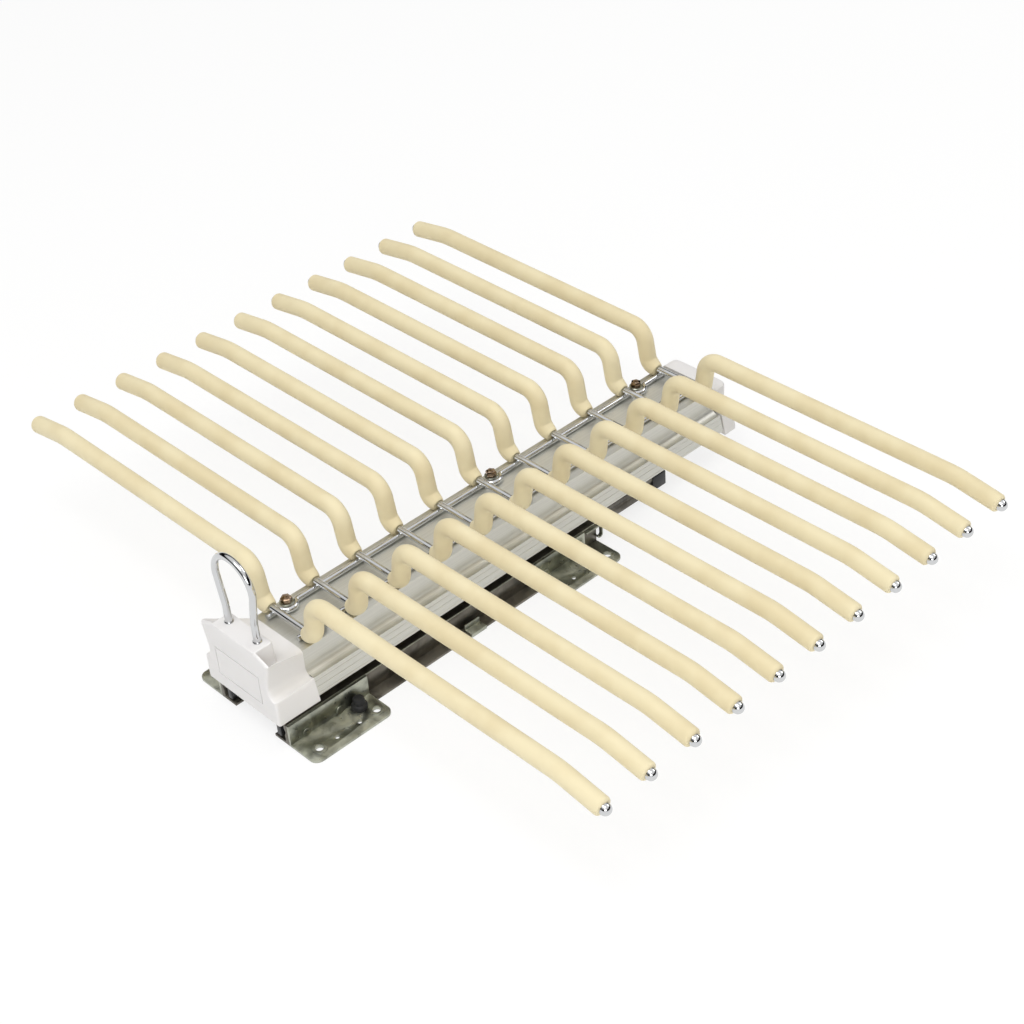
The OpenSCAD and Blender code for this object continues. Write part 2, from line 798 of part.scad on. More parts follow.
module front_cap() {
    pocket_w = block_w - 2 * block_wall;
    color(cap_colour)
        difference() {
            union() {
                front_cap_skin();
                handle_block();
                cap_tongue(beam_y0 - cap_wall, beam_y0 + tongue_len);
            }
            translate([-pocket_w / 2, cap_y0 + cap_wall, cap_foot_z - overrun])
                cube([pocket_w, pocket_len, pocket_z - cap_foot_z + overrun]);
            handle_bar(handle_d + 2 * seat_gap, leg_depth);
            panel_groove();
        }
}

module rear_cap() {
    rear = loop_of(cap_rear_half());
    centre_z = cap_foot_z + (beam_top_z - cap_foot_z) * half_share;
    run = rear_cap_len - rear_edge_r;
    rings = concat([rear, rear], edge_rings(rear, rear_edge_r, centre_z, beam_half));
    edge_ys = [for (step = edge_steps(rear_edge_r)) beam_y1 + run + step];
    ys = concat([beam_y1 - overrun, beam_y1 + run], edge_ys);
    color(cap_colour)
        union() {
            difference() {
                loft(reversed(rings), reversed(ys));
                square_off(beam_y1 - 2 * overrun);
            }
            cap_tongue(beam_y1 - tongue_len, beam_y1 + cap_wall);
        }
}

module pull_handle() {
    color(chrome_colour) {
        handle_bar(handle_d, leg_depth - fine_gap);
        at_legs() cylinder(d = collar_d, h = collar_h);
    }
}

// Nuts on the handle's legs, under the cap's inner face
module handle_nuts() {
    color(zinc_colour)
        at_legs() translate([0, 0, -leg_depth + fine_gap]) difference() {
            cylinder(d = nut_w / cos(30), h = nut_h - nut_play, $fn = 6);
            translate([0, 0, -overrun]) cylinder(d = handle_d + 2 * seat_gap, h = nut_h + 2 * overrun);
        }
}

// Right half of the inner rail's section
module inner_rail_half() {
    difference() {
        union() {
            translate([0, beam_z - rail_t]) square([inner_out_x, rail_t]);
            translate([inner_in_x, inner_z]) square([inner_wall, beam_z - inner_z]);
        }
        translate([inner_ball_x, ball_z]) circle(race_r);
    }
}

module inner_rail() {
    color(slide_colour)
        difference() {
            along_y(inner_y0, inner_y1) both_halves() inner_rail_half();
            at_beam_rivets() translate([0, 0, -rail_t - overrun])
                cylinder(d = beam_rivet_d + 2 * seat_gap, h = rail_t + 2 * overrun);
        }
}

module beam_rivets() {
    color(zinc_colour)
        at_beam_rivets() {
            translate([0, 0, -rail_t]) cylinder(d = beam_rivet_d, h = rail_t + beam_wall);
            translate([0, 0, beam_wall]) cylinder(d = beam_rivet_head, h = beam_rivet_head_t);
            translate([0, 0, -rail_t - beam_rivet_head_t])
                cylinder(d = beam_rivet_head, h = beam_rivet_head_t);
        }
}

// Right half of the middle rail's section, with a race on each side
module middle_rail_half() {
    difference() {
        union() {
            translate([0, middle_z]) square([middle_out_x, rail_t]);
            translate([middle_in_x, middle_z]) square([middle_wall, middle_h]);
        }
        translate([outer_ball_x, ball_z]) circle(race_r);
        translate([inner_ball_x, ball_z]) circle(race_r);
    }
}

module middle_rail() {
    color(slide_colour) along_y(middle_y0, middle_y1) both_halves() middle_rail_half();
}

// Plastic buffer on one end of the middle rail's flange
module middle_buffer(y0, y1) {
    low_x = middle_in_x - buffer_lip;
    high_x = middle_out_x + buffer_lip;
    translate([low_x, y0, middle_z]) cube([high_x - low_x, y1 - y0, middle_h]);
}

module middle_rail_buffers() {
    color(rubber_colour)
        for (side = [left, right])
            on_side(side) {
                middle_buffer(rail_y0, middle_y0);
                middle_buffer(middle_y1, middle_y1 + rear_buffer_len);
            }
}

// Right half of the fixed rail's section, with a lip over the outer balls
module fixed_rail_half() {
    difference() {
        union() {
            square([rail_half, rail_t]);
            translate([rail_half - rail_wall, 0]) square([rail_wall, rail_h]);
            translate([rail_half - lip_w, rail_h - rail_t]) square([lip_w, rail_t]);
            square([rail_half + rail_foot, rail_t]);
        }
        translate([outer_ball_x, ball_z]) circle(race_r);
    }
}

module fixed_rail() {
    color(slide_colour)
        difference() {
            along_y(rail_y0, rail_y1) both_halves() fixed_rail_half();
            translate([-notch_w / 2, rail_y0 - overrun, -overrun])
                cube([notch_w, notch_len + overrun, rail_t + 2 * overrun]);
            for (side = [left, right], start = bracket_starts)
                on_side(side) {
                    translate([rail_half, start - foot_gap, -overrun])
                        cube([rail_foot + overrun, bracket_len + 2 * foot_gap, rail_t + 2 * overrun]);
                    bracket_rivet_shanks(start, seat_gap);
                }
        }
}

// Pair of side strips joined by a thin web, with a pocket for each ball
module ball_cage(ball_x, cage_z, y0) {
    difference() {
        union() {
            for (side = [left, right])
                translate([side * ball_x - cage_t / 2, y0, cage_z])
                    cube([cage_t, cage_len, cage_top_z - cage_z]);
            translate([-ball_x, y0, cage_z]) cube([2 * ball_x, cage_len, cage_web_t]);
        }
        at_balls(ball_x, y0)
            rotate([0, 90, 0]) cylinder(r = race_r, h = 2 * cage_t, center = true);
    }
}

// Places a child at each ball of a cage
module at_balls(ball_x, y0) {
    for (side = [left, right], i = [1:ball_count])
        translate([side * ball_x, y0 + i * ball_pitch, ball_z]) children();
}

module outer_ball_cage() {
    color(zinc_colour) ball_cage(outer_ball_x, outer_cage_z, outer_cage_y);
}

module outer_balls() {
    color(chrome_colour) at_balls(outer_ball_x, outer_cage_y) sphere(r = ball_r);
}

module inner_ball_cage() {
    color(zinc_colour) ball_cage(inner_ball_x, inner_cage_z, inner_cage_y);
}

module inner_balls() {
    color(chrome_colour) at_balls(inner_ball_x, inner_cage_y) sphere(r = ball_r);
}

// Places a child at a list of distances from a bracket's front end, over its hole line
module on_hole_line(distances) {
    for (distance = distances) translate([bracket_x + hole_x, distance, 0]) children();
}

// Angle bracket with dished screw holes, locating holes and a blind dimple; its upright may stop short
module bracket(side, start, upright_share) {
    tall = rail_h - seat_gap;
    upright_len = bracket_len * upright_share;
    corner_x = bracket_x + bracket_w - bracket_corner_r;
    screw_ys = [hole_y, hole_y + hole_pitch];
    small_ys = [small_hole_y, small_hole_y + small_hole_pitch];
    color(zinc_colour)
        on_side(side) translate([0, start, 0]) difference() {
            union() {
                translate([bracket_x, 0, 0]) cube([bracket_t, upright_len, tall]);
                translate([bracket_x, 0, 0]) cube([bracket_w - bracket_corner_r, bracket_len, bracket_t]);
                translate([corner_x, bracket_corner_r, 0])
                    cube([bracket_corner_r, bracket_len - 2 * bracket_corner_r, bracket_t]);
                for (y = [bracket_corner_r, bracket_len - bracket_corner_r])
                    translate([corner_x, y, 0]) cylinder(r = bracket_corner_r, h = bracket_t);
                on_hole_line(screw_ys)
                    cylinder(r1 = hole_boss_r + hole_boss_h, r2 = hole_boss_r, h = bracket_t + hole_boss_h);
            }
            on_hole_line(screw_ys) translate([0, 0, -overrun])
                cylinder(d = screw_hole_d, h = bracket_t + hole_boss_h + 2 * overrun);
            on_hole_line(small_ys) translate([0, 0, -overrun])
                cylinder(d = small_hole_d, h = bracket_t + 2 * overrun);
            on_hole_line([bracket_len * half_share]) translate([0, 0, bracket_t - dimple_t])
                cylinder(r = dimple_r, h = overrun);
            translate([0, -start, 0]) bracket_rivet_shanks(start, seat_gap);
        }
}

// Rivet shanks through a bracket's upright into the rail's wall
module bracket_rivet_shanks(start, gap) {
    for (share = rivet_shares)
        translate([bracket_x - rivet_grip - gap, start + bracket_len * share, rivet_z])
            rotate([0, 90, 0])
            cylinder(d = rivet_d + 2 * gap, h = rivet_grip + bracket_t + 2 * gap);
}

module bracket_rivets() {
    color(zinc_colour)
        for (side = [left, right], start = bracket_starts)
            on_side(side) {
                bracket_rivet_shanks(start, 0);
                for (share = rivet_shares)
                    translate([bracket_x + bracket_t, start + bracket_len * share, rivet_z])
                        rotate([0, 90, 0])
                        cylinder(d = rivet_head_d, h = rivet_head_t);
            }
}

// Rubber stop that stands on each front bracket beside the rail
module rubber_stops() {
    color(rubber_colour)
        for (side = [left, right])
            on_side(side)
                translate([stop_x, rail_y0 + bracket_len * stop_y_share, bracket_t])
                cylinder(d = stop_d, h = stop_h);
}

// Sheet clip over the edge of the rail's foot, with an upturned inner lip
module foot_clip() {
    reach = clip_edge_x + clip_t - clip_x;
    translate([clip_x, clip_y, rail_t]) {
        cube([reach, clip_len, clip_t]);
        cube([clip_t, clip_len, clip_h]);
        translate([clip_edge_x - clip_x, 0, fine_gap - rail_t]) cube([clip_t, clip_len, rail_t]);
    }
}

// Quarter of the ring that a hook's strip is bent to
module strip_bend() {
    intersection() {
        difference() {
            circle(hook_bend_r);
            circle(hook_bend_r - clip_t);
        }
        square(hook_bend_r);
    }
}

// Curled hook at the rear end of the rail, drawn in Y and Z
module end_hook() {
    bend_y = hook_len - hook_bend_r;
    translate([bracket_x, hook_y, hook_z])
        rotate([90, 0, 90])
        linear_extrude(hook_w) {
            translate([0, hook_h - clip_t]) square([bend_y, clip_t]);
            translate([bend_y, hook_h - hook_bend_r]) strip_bend();
            translate([hook_len - clip_t, hook_bend_r]) square([clip_t, hook_h - 2 * hook_bend_r]);
            translate([bend_y, hook_bend_r]) rotate(-90) strip_bend();
            translate([bend_y, hook_bend_r]) rotate(180) strip_bend();
        }
}

module rail_clips() {
    color(zinc_colour)
        for (side = [left, right])
            on_side(side) {
                foot_clip();
                end_hook();
            }
}

for (row = [1:row_count]) {
    arm_rod(row);
    sleeve(left, row);
    sleeve(right, row);
}
tip_caps();
side_wire(left);  // side_wire_left
side_wire(right);  // side_wire_right
clamp_screws();
clamp_washers();
beam();
front_cap();
rear_cap();
pull_handle();
handle_nuts();
inner_rail();
beam_rivets();
middle_rail();
middle_rail_buffers();
fixed_rail();
outer_ball_cage();
outer_balls();
inner_ball_cage();
inner_balls();
bracket(left, bracket_starts[0], front_upright_share);  // front_bracket_left
bracket(right, bracket_starts[0], front_upright_share);  // front_bracket_right
bracket(left, bracket_starts[1], rear_upright_share);  // rear_bracket_left
bracket(right, bracket_starts[1], rear_upright_share);  // rear_bracket_right
bracket_rivets();
rubber_stops();
rail_clips();
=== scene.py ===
"""Dresses the pull-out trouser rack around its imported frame: meshes, finishes, studio and camera.

Sizes are in millimetres in the classes and become metres when a mesh is made. The rack stands on its
mounting face with the handle towards -Y, as the frame says.
"""

import json
import logging
import math
from dataclasses import dataclass, field, fields
from enum import Enum
from typing import Any, Iterable, Sequence

import bmesh
import bpy
import numpy as np
from mathutils import Matrix, Vector

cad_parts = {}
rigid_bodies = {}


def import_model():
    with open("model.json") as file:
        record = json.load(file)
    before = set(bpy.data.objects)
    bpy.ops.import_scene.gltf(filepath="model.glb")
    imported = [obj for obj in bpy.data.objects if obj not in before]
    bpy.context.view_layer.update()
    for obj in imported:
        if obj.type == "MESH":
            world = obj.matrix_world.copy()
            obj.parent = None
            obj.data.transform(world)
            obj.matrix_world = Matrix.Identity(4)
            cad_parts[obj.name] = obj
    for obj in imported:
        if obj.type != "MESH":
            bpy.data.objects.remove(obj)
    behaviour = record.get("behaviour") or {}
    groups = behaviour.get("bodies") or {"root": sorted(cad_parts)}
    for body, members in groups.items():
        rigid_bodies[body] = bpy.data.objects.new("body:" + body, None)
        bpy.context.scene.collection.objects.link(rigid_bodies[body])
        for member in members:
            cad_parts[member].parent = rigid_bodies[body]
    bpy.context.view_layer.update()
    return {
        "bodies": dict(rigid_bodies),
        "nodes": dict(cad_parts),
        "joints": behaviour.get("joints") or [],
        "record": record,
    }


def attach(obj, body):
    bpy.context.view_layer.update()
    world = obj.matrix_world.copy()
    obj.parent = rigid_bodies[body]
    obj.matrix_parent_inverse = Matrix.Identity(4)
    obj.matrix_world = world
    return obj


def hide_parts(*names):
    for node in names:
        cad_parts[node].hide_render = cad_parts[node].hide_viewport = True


log = logging.getLogger("trouser_rack")

MM = 0.001
RACK = "rack"
MOUNT_FRAME = "mount_frame"
MIDDLE_SLIDE = "middle_slide"

# Angles in degrees over which an edge stays sharp, by how the piece is made.
TURNED_EDGE = 35.0
DRAWN_EDGE = 28.0
MOULDED_EDGE = 32.0
PRESSED_EDGE = 38.0

Point = tuple[float, float, float]
Flat = tuple[float, float]
Corner = bmesh.types.BMVert
Paint = dict[str, bpy.types.Material]


class Side(Enum):
    """The two sides of the rack, with the sign of X."""

    LEFT = -1
    RIGHT = 1

    @property
    def word(self) -> str:
        """The side's name in a node's name."""
        return self.name.lower()


def linear(hex_colour: str) -> tuple[float, float, float, float]:
    """Turns an sRGB hex value into linear RGBA.

    Args:
        hex_colour: six hex digits after a hash sign.

    Returns:
        The linear colour with full alpha.
    """
    parts = [int(hex_colour[i : i + 2], 16) / 255 for i in (1, 3, 5)]
    flat = [c / 12.92 if c <= 0.04045 else ((c + 0.055) / 1.055) ** 2.4 for c in parts]
    return (flat[0], flat[1], flat[2], 1.0)


def per_metre(size_mm: float) -> float:
    """Scale of a pattern whose features have this size."""
    return 1 / (size_mm * MM)


def add_node(
    tree: bpy.types.NodeTree, kind: str, inputs: dict[str | int, Any] | None = None, **settings: Any
) -> bpy.types.Node:
    """Adds a node with its settings, input values and links.

    Args:
        tree: the tree that takes the node.
        kind: the node's type name.
        inputs: values or output sockets by input name or index.
        **settings: attributes of the node; stops gives a colour ramp its positions and hex colours.

    Returns:
        The new node.
    """
    node = tree.nodes.new(kind)
    stops = settings.pop("stops", ())
    for name, value in settings.items():
        setattr(node, name, value)
    for place, value in (inputs or {}).items():
        socket = node.inputs[place]
        if isinstance(value, bpy.types.NodeSocket):
            tree.links.new(value, socket)
        else:
            socket.default_value = value
    for index, (position, colour) in enumerate(stops):
        elements = node.color_ramp.elements
        element = elements[index] if index < 2 else elements.new(position)
        element.position = position
        element.color = linear(colour)
    return node


def clear_tree(owner: bpy.types.Material | bpy.types.World) -> bpy.types.NodeTree:
    """Gives a material or a world an empty tree.

    Args:
        owner: the material or world.

    Returns:
        Its tree.
    """
    owner.use_nodes = True
    owner.node_tree.nodes.clear()
    return owner.node_tree


# Finishes


@dataclass(frozen=True)
class Surface:
    """A material while it is made: its tree, its shader and object coordinates in metres."""

    tree: bpy.types.NodeTree
    shader: bpy.types.Node
    place: bpy.types.NodeSocket

    def follow(
        self,
        pattern: bpy.types.NodeSocket,
        colours: Sequence[tuple[float, str]] = (),
        gloss: Flat | None = None,
        relief: Flat | None = None,
    ) -> None:
        """Lets the colour, the gloss and the relief follow a pattern.

        Args:
            pattern: the pattern's value, from 0 to 1.
            colours: hex colours, each with the value that it stands at.
            gloss: the roughness at 0 and at 1.
            relief: the bump's strength, and its depth in millimetres.
        """
        links, sockets = self.tree.links, self.shader.inputs
        if colours:
            tint = add_node(self.tree, "ShaderNodeValToRGB", {"Fac": pattern}, stops=colours)
            links.new(tint.outputs["Color"], sockets["Base Color"])
        if gloss:
            span = {"Value": pattern, "To Min": gloss[0], "To Max": gloss[1]}
            shine = add_node(self.tree, "ShaderNodeMapRange", span)
            links.new(shine.outputs["Result"], sockets["Roughness"])
        if relief:
            rise = {"Strength": relief[0], "Distance": relief[1] * MM, "Height": pattern}
            bump = add_node(self.tree, "ShaderNodeBump", rise)
            links.new(bump.outputs["Normal"], sockets["Normal"])


@dataclass(frozen=True)
class Finish:
    """A finish: its colour and gloss, and the fine detail that its surface shows."""

    name: str
    colour: str
    roughness: float
    metallic: float = 0.0

    def build(self) -> bpy.types.Material:
        """Makes the material with its pattern nodes.

        Returns:
            The material.
        """
        material = bpy.data.materials.new(self.name)
        tree = clear_tree(material)
        body = {"Base Color": linear(self.colour), "Roughness": self.roughness, "Metallic": self.metallic}
        shader = add_node(tree, "ShaderNodeBsdfPrincipled", body)
        self.detail(Surface(tree, shader, add_node(tree, "ShaderNodeTexCoord").outputs["Object"]))
        add_node(tree, "ShaderNodeOutputMaterial", {"Surface": shader.outputs["BSDF"]})
        return material

    def detail(self, surface: Surface) -> None:
        """Adds the finish's pattern; the plain finish has none."""

    def roughness_span(self, low: float, high: float) -> Flat:
        """The roughness at two shares of its middle value."""
        return self.roughness * low, self.roughness * high


@dataclass(frozen=True)
class FoamedVinyl(Finish):
    """Foamed vinyl sleeve, extruded: matt and soft, faintly mottled, with a fine dry grain."""

    shade: str = "#DACCA6"
    mottle_mm: float = 22.0
    # The real grain is about 0.2 mm. It is drawn coarser, so that it shows.
    grain_mm: float = 0.45
    sheen: float = 0.15
    specular: float = 0.3

    def detail(self, surface: Surface) -> None:
        """Mottles the colour and roughens the skin.

        Args:
            surface: the material while it is made.
        """
        tree, place = surface.tree, surface.place
        cloud = {"Vector": place, "Scale": per_metre(self.mottle_mm), "Detail": 3.0}
        mottle = add_node(tree, "ShaderNodeTexNoise", cloud)
        surface.follow(mottle.outputs["Fac"], colours=((0.36, self.shade), (0.60, self.colour)))
        skin_grain = {"Vector": place, "Scale": per_metre(self.grain_mm), "Detail": 4.0}
        grain = add_node(tree, "ShaderNodeTexNoise", skin_grain)
        surface.follow(grain.outputs["Fac"], relief=(0.25, 0.08))
        surface.shader.inputs["Sheen Weight"].default_value = self.sheen
        surface.shader.inputs["Sheen Roughness"].default_value = 0.5
        surface.shader.inputs["Specular IOR Level"].default_value = self.specular


@dataclass(frozen=True)
class BrightChrome(Finish):
    """Chrome plate on drawn wire: a mirror with a faint haze left by the buffing wheel."""

    haze_mm: float = 3.0

    def detail(self, surface: Surface) -> None:
        """Varies the gloss a little.

        Args:
            surface: the material while it is made.
        """
        cloud = {"Vector": surface.place, "Scale": per_metre(self.haze_mm), "Detail": 5.0}
        haze = add_node(surface.tree, "ShaderNodeTexNoise", cloud)
        surface.follow(haze.outputs["Fac"], gloss=self.roughness_span(0.6, 1.7))


@dataclass(frozen=True)
class DrawnAluminium(Finish):
    """Satin anodised aluminium, drawn through a die: fine lines run along Y and streak the gloss."""

    line_colour: str = "#CBCAC2"
    # Real die lines lie under 0.1 mm apart. They are drawn coarser, so that they show.
    line_mm: float = 0.3
    line_length_mm: float = 260.0

    def detail(self, surface: Surface) -> None:
        """Draws the die lines along the length in colour, gloss and relief.

        Args:
            surface: the material while it is made.
        """
        across, along = per_metre(self.line_mm), per_metre(self.line_length_mm)
        stretch = {"Vector": surface.place, "Scale": (across, along, across)}
        drawn = add_node(surface.tree, "ShaderNodeMapping", stretch).outputs["Vector"]
        lines = add_node(surface.tree, "ShaderNodeTexNoise", {"Vector": drawn, "Scale": 1.0, "Detail": 3.0})
        surface.follow(
            lines.outputs["Fac"],
            colours=((0.30, self.line_colour), (0.62, self.colour)),
            gloss=self.roughness_span(0.95, 1.08),
            relief=(0.05, 0.01),
        )


@dataclass(frozen=True)
class MouldedPlastic(Finish):
    """Moulded plastic or rubber from a spark-eroded tool: an even satin skin with a faint texture."""

    # The real texture is about 0.1 mm. It is drawn coarser, so that it shows.
    grain_mm: float = 0.35
    relief_mm: float = 0.03

    def detail(self, surface: Surface) -> None:
        """Gives the skin its fine texture and a slight unevenness of gloss.

        Args:
            surface: the material while it is made.
        """
        texture = {"Vector": surface.place, "Scale": per_metre(self.grain_mm), "Detail": 2.0}
        grain = add_node(surface.tree, "ShaderNodeTexNoise", texture).outputs["Fac"]
        surface.follow(grain, gloss=self.roughness_span(0.9, 1.15), relief=(0.2, self.relief_mm))


@dataclass(frozen=True)
class PlatedSheet(Finish):
    """Plated steel: a cloudy metal with darker passivation stains and a soft, finely spangled gloss."""

    stain: str = "#82847A"
    stain_mm: float = 10.0
    spangle_mm: float = 1.2

    def detail(self, surface: Surface) -> None:
        """Clouds the plating with stains and a fine spangle.

        Args:
            surface: the material while it is made.
        """
        tree, place = surface.tree, surface.place
        stains = {
            "Vector": place,
            "Scale": per_metre(self.stain_mm),
            "Detail": 3.0,
            "Roughness": 0.55,
            "Distortion": 0.6,
        }
        cloud = add_node(tree, "ShaderNodeTexNoise", stains).outputs["Fac"]
        crystals = {"Vector": place, "Scale": per_metre(self.spangle_mm)}
        spangle = add_node(tree, "ShaderNodeTexVoronoi", crystals).outputs["Color"]
        surface.follow(cloud, colours=((0.34, self.stain), (0.60, self.colour)), relief=(0.06, 0.03))
        surface.follow(spangle, gloss=self.roughness_span(0.8, 1.3))


@dataclass(frozen=True)
class Finishes:
    """Every finish on the rack, under its slot in the record."""

    # Cream and matt, a little darker in soft clouds.
    cream_sleeve: FoamedVinyl = FoamedVinyl("foamed_vinyl", "#E1D5B1", 0.72)
    # A clear mirror of the studio on rods, wires, tips and the handle.
    chromed_steel: BrightChrome = BrightChrome("bright_chrome", "#CFD0D1", 0.06, 1.0)
    # A warm pale grey that stretches its highlights along the beam.
    satin_aluminium: DrawnAluminium = DrawnAluminium("drawn_aluminium", "#D8D7D0", 0.50, 1.0)
    # A slightly rosy white with broad, soft highlights.
    white_plastic: MouldedPlastic = MouldedPlastic("off_white_abs", "#DFDDDC", 0.40)
    # A greenish grey with cloudy stains on brackets, washers and rivets.
    zinc_steel: PlatedSheet = PlatedSheet("zinc_plated_sheet", "#B2B4A6", 0.32, 1.0)
    # The rolled rails look browner and darker under their film of grease.
    rail_steel: PlatedSheet = PlatedSheet(
        "dark_zinc_rail", "#7A766D", 0.40, 1.0, stain="#57534C", stain_mm=14.0
    )
    # Shiny brown heads, darker in small spots.
    bronzed_steel: PlatedSheet = PlatedSheet(
        "bronzed_screw", "#A08B76", 0.13, 1.0, stain="#604D3D", stain_mm=2.0, spangle_mm=0.5
    )
    # Satin black buffers.
    black_plastic: MouldedPlastic = MouldedPlastic("black_acetal", "#1B1B1D", 0.38)
    # Dull black stops.
    black_rubber: MouldedPlastic = MouldedPlastic("black_rubber", "#151516", 0.62, grain_mm=0.5)

    def build(self) -> Paint:
        """Makes every material.

        Returns:
            Materials by the record's slot name.
        """
        return {slot.name: getattr(self, slot.name).build() for slot in fields(self)}


# Meshes


def mesh_object(name: str, mesh: bpy.types.Mesh, material: bpy.types.Material) -> bpy.types.Object:
    """Puts a mesh into the scene as an object at the origin.

    Args:
        name: the piece's name.
        mesh: its mesh, in metres.
        material: its finish.

    Returns:
        The object.
    """
    piece = bpy.data.objects.new(name, mesh)
    mesh.name = name
    mesh.materials.clear()
    mesh.materials.append(material)
    bpy.context.scene.collection.objects.link(piece)
    return piece


def settle(piece: bpy.types.Object) -> bpy.types.Object:
    """Applies a piece's modifiers and leaves a plain mesh.

    Args:
        piece: an object with modifiers.

    Returns:
        The same object.
    """
    graph = bpy.context.evaluated_depsgraph_get()
    plain = bpy.data.meshes.new_from_object(piece.evaluated_get(graph), depsgraph=graph)
    piece.modifiers.clear()
    old = piece.data
    piece.data = plain
    bpy.data.meshes.remove(old)
    plain.name = piece.name
    return piece


def smooth_by_angle(mesh: bpy.types.Mesh, degrees: float) -> bpy.types.Mesh:
    """Shades a mesh smooth, with sharp edges over an angle.

    Args:
        mesh: the mesh.
        degrees: the angle over which an edge stays sharp.

    Returns:
        The same mesh.
    """
    mesh.shade_smooth()
    mesh.set_sharp_from_angle(angle=math.radians(degrees))
    return mesh


@dataclass(frozen=True)
class Piece:
    """What a piece is called, its slot in the record, the nodes that it stands for and its body."""

    name: str
    slot: str
    nodes: tuple[str, ...] = ()
    body: str = RACK

    def fix(self, made: bpy.types.Object) -> None:
        """Makes the finished object ride on its body and stand for its nodes.

        Args:
            made: the object, in place.
        """
        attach(made, self.body)
        if self.nodes:
            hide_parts(*self.nodes)
        faces, nodes = len(made.data.polygons), ", ".join(self.nodes) or "none"
        log.info("%s on %s: %d faces, stands for %s", self.name, self.body, faces, nodes)


def mirrored(half: Sequence[Flat]) -> list[Flat]:
    """The other half of a symmetric line, run through backwards."""
    return [(-x, z) for x, z in reversed(half)]


def vertices(form: bmesh.types.BMesh, points: Iterable[Point]) -> list[Corner]:
    """Adds a vertex at each point, given in millimetres."""
    return [form.verts.new((x * MM, y * MM, z * MM)) for x, y, z in points]


def band(form: bmesh.types.BMesh, near: Sequence[Corner], far: Sequence[Corner]) -> None:
    """Joins two closed rings of as many vertices with a band of faces."""
    for i in range(len(near)):
        form.faces.new((near[i - 1], near[i], far[i], far[i - 1]))


def baked(form: bmesh.types.BMesh, name: str, turn_outwards: bool = True) -> bpy.types.Mesh:
    """Turns a form into a mesh and frees the form.

    Args:
        form: the form, closed.
        name: the mesh's name.
        turn_outwards: whether its faces are made to point outwards first.

    Returns:
        The mesh.
    """
    if turn_outwards:
        bmesh.ops.recalc_face_normals(form, faces=form.faces)
    mesh = bpy.data.meshes.new(name)
    form.to_mesh(mesh)
    form.free()
    return mesh


@dataclass
class BentBar:
    """Follows a bar bent in one plane and collects points close enough together for its bends."""

    start: Flat
    heading: float = 0.0
    # The longest steps: on a straight in millimetres, in a bend in degrees.
    step: float = 3.0
    bend_step: float = 6.0
    points: list[Flat] = field(default_factory=list)

    def __post_init__(self) -> None:
        """Begins at the start point."""
        self.points.append(self.start)

    def run(self, length: float) -> "BentBar":
        """Goes straight on.

        Args:
            length: how far, in millimetres.

        Returns:
            The bar itself.
        """
        x, z = self.points[-1]
        count = max(1, round(length / self.step))
        across, up = math.cos(math.radians(self.heading)), math.sin(math.radians(self.heading))
        for i in range(1, count + 1):
            share = i / count
            self.points.append((x + length * share * across, z + length * share * up))
        return self

    def turn(self, radius: float, degrees: float) -> "BentBar":
        """Bends by an angle.

        Args:
            radius: the bend's radius at the middle line, in millimetres.
            degrees: the angle, positive to the left of the heading.

        Returns:
            The bar itself.
        """
        x, z = self.points[-1]
        side = 1 if degrees > 0 else -1
        start = math.radians(self.heading)
        centre = (x - side * radius * math.sin(start), z + side * radius * math.cos(start))
        count = max(3, round(abs(degrees) / self.bend_step))
        for i in range(1, count + 1):
            angle = start + math.radians(degrees) * i / count
            out, up = side * radius * math.sin(angle), side * radius * math.cos(angle)
            self.points.append((centre[0] + out, centre[1] - up))
        self.heading += degrees
        return self


class PieceTree:
    """A geometry tree with named inputs that makes pieces from points and ends in Set Material."""

    def __init__(self, name: str, sockets: Sequence[tuple[str, str]], paint: Paint) -> None:
        """Starts the tree.

        Args:
            name: the tree's name.
            sockets: names and kinds of its inputs, apart from the geometry and the material.
            paint: the finishes by slot.
        """
        self.paint = paint
        self.tree = bpy.data.node_groups.new(name, "GeometryNodeTree")
        face = self.tree.interface
        for way in ("INPUT", "OUTPUT"):
            face.new_socket(name="Geometry", in_out=way, socket_type="NodeSocketGeometry")
        self.inputs = {
            label: face.new_socket(name=label, in_out="INPUT", socket_type="NodeSocket" + kind).identifier
            for label, kind in (*sockets, ("Material", "Material"))
        }
        self.entry = add_node(self.tree, "NodeGroupInput").outputs

    def end(self, shape: bpy.types.NodeSocket) -> None:
        """Ends the tree in Realize Instances and Set Material.

        Args:
            shape: the geometry that the tree has made.
        """
        real = add_node(self.tree, "GeometryNodeRealizeInstances", {"Geometry": shape})
        paint = {"Geometry": real.outputs["Geometry"], "Material": self.entry["Material"]}
        painted = add_node(self.tree, "GeometryNodeSetMaterial", paint)
        add_node(self.tree, "NodeGroupOutput", {"Geometry": painted.outputs["Geometry"]})

    def make(
        self,
        piece: Piece,
        points: Sequence[Point],
        edges: Sequence[tuple[int, int]],
        label: str,
        values: np.ndarray,
        settings: dict[str, Any],
    ) -> None:
        """Runs the tree on a few points, settles the result and fixes it to its body.

        Args:
            piece: what is made.
            points: the points, in millimetres.
            edges: pairs of points that are joined.
            label: name of the attribute that each point has.
            values: the attribute, a number or three for each point.
            settings: the tree's inputs by name.
        """
        mesh = bpy.data.meshes.new(piece.name)
        mesh.from_pydata([[c * MM for c in point] for point in points], edges, [])
        kind, part = ("FLOAT", "value") if values.ndim == 1 else ("FLOAT_VECTOR", "vector")
        mesh.attributes.new(label, kind, "POINT").data.foreach_set(part, values.ravel())
        material = self.paint[piece.slot]
        made = mesh_object(piece.name, mesh, material)
        modifier = made.modifiers.new(self.tree.name, "NODES")
        modifier.node_group = self.tree
        for socket, value in {**settings, "Material": material}.items():
            modifier[self.inputs[socket]] = value
        piece.fix(settle(made))


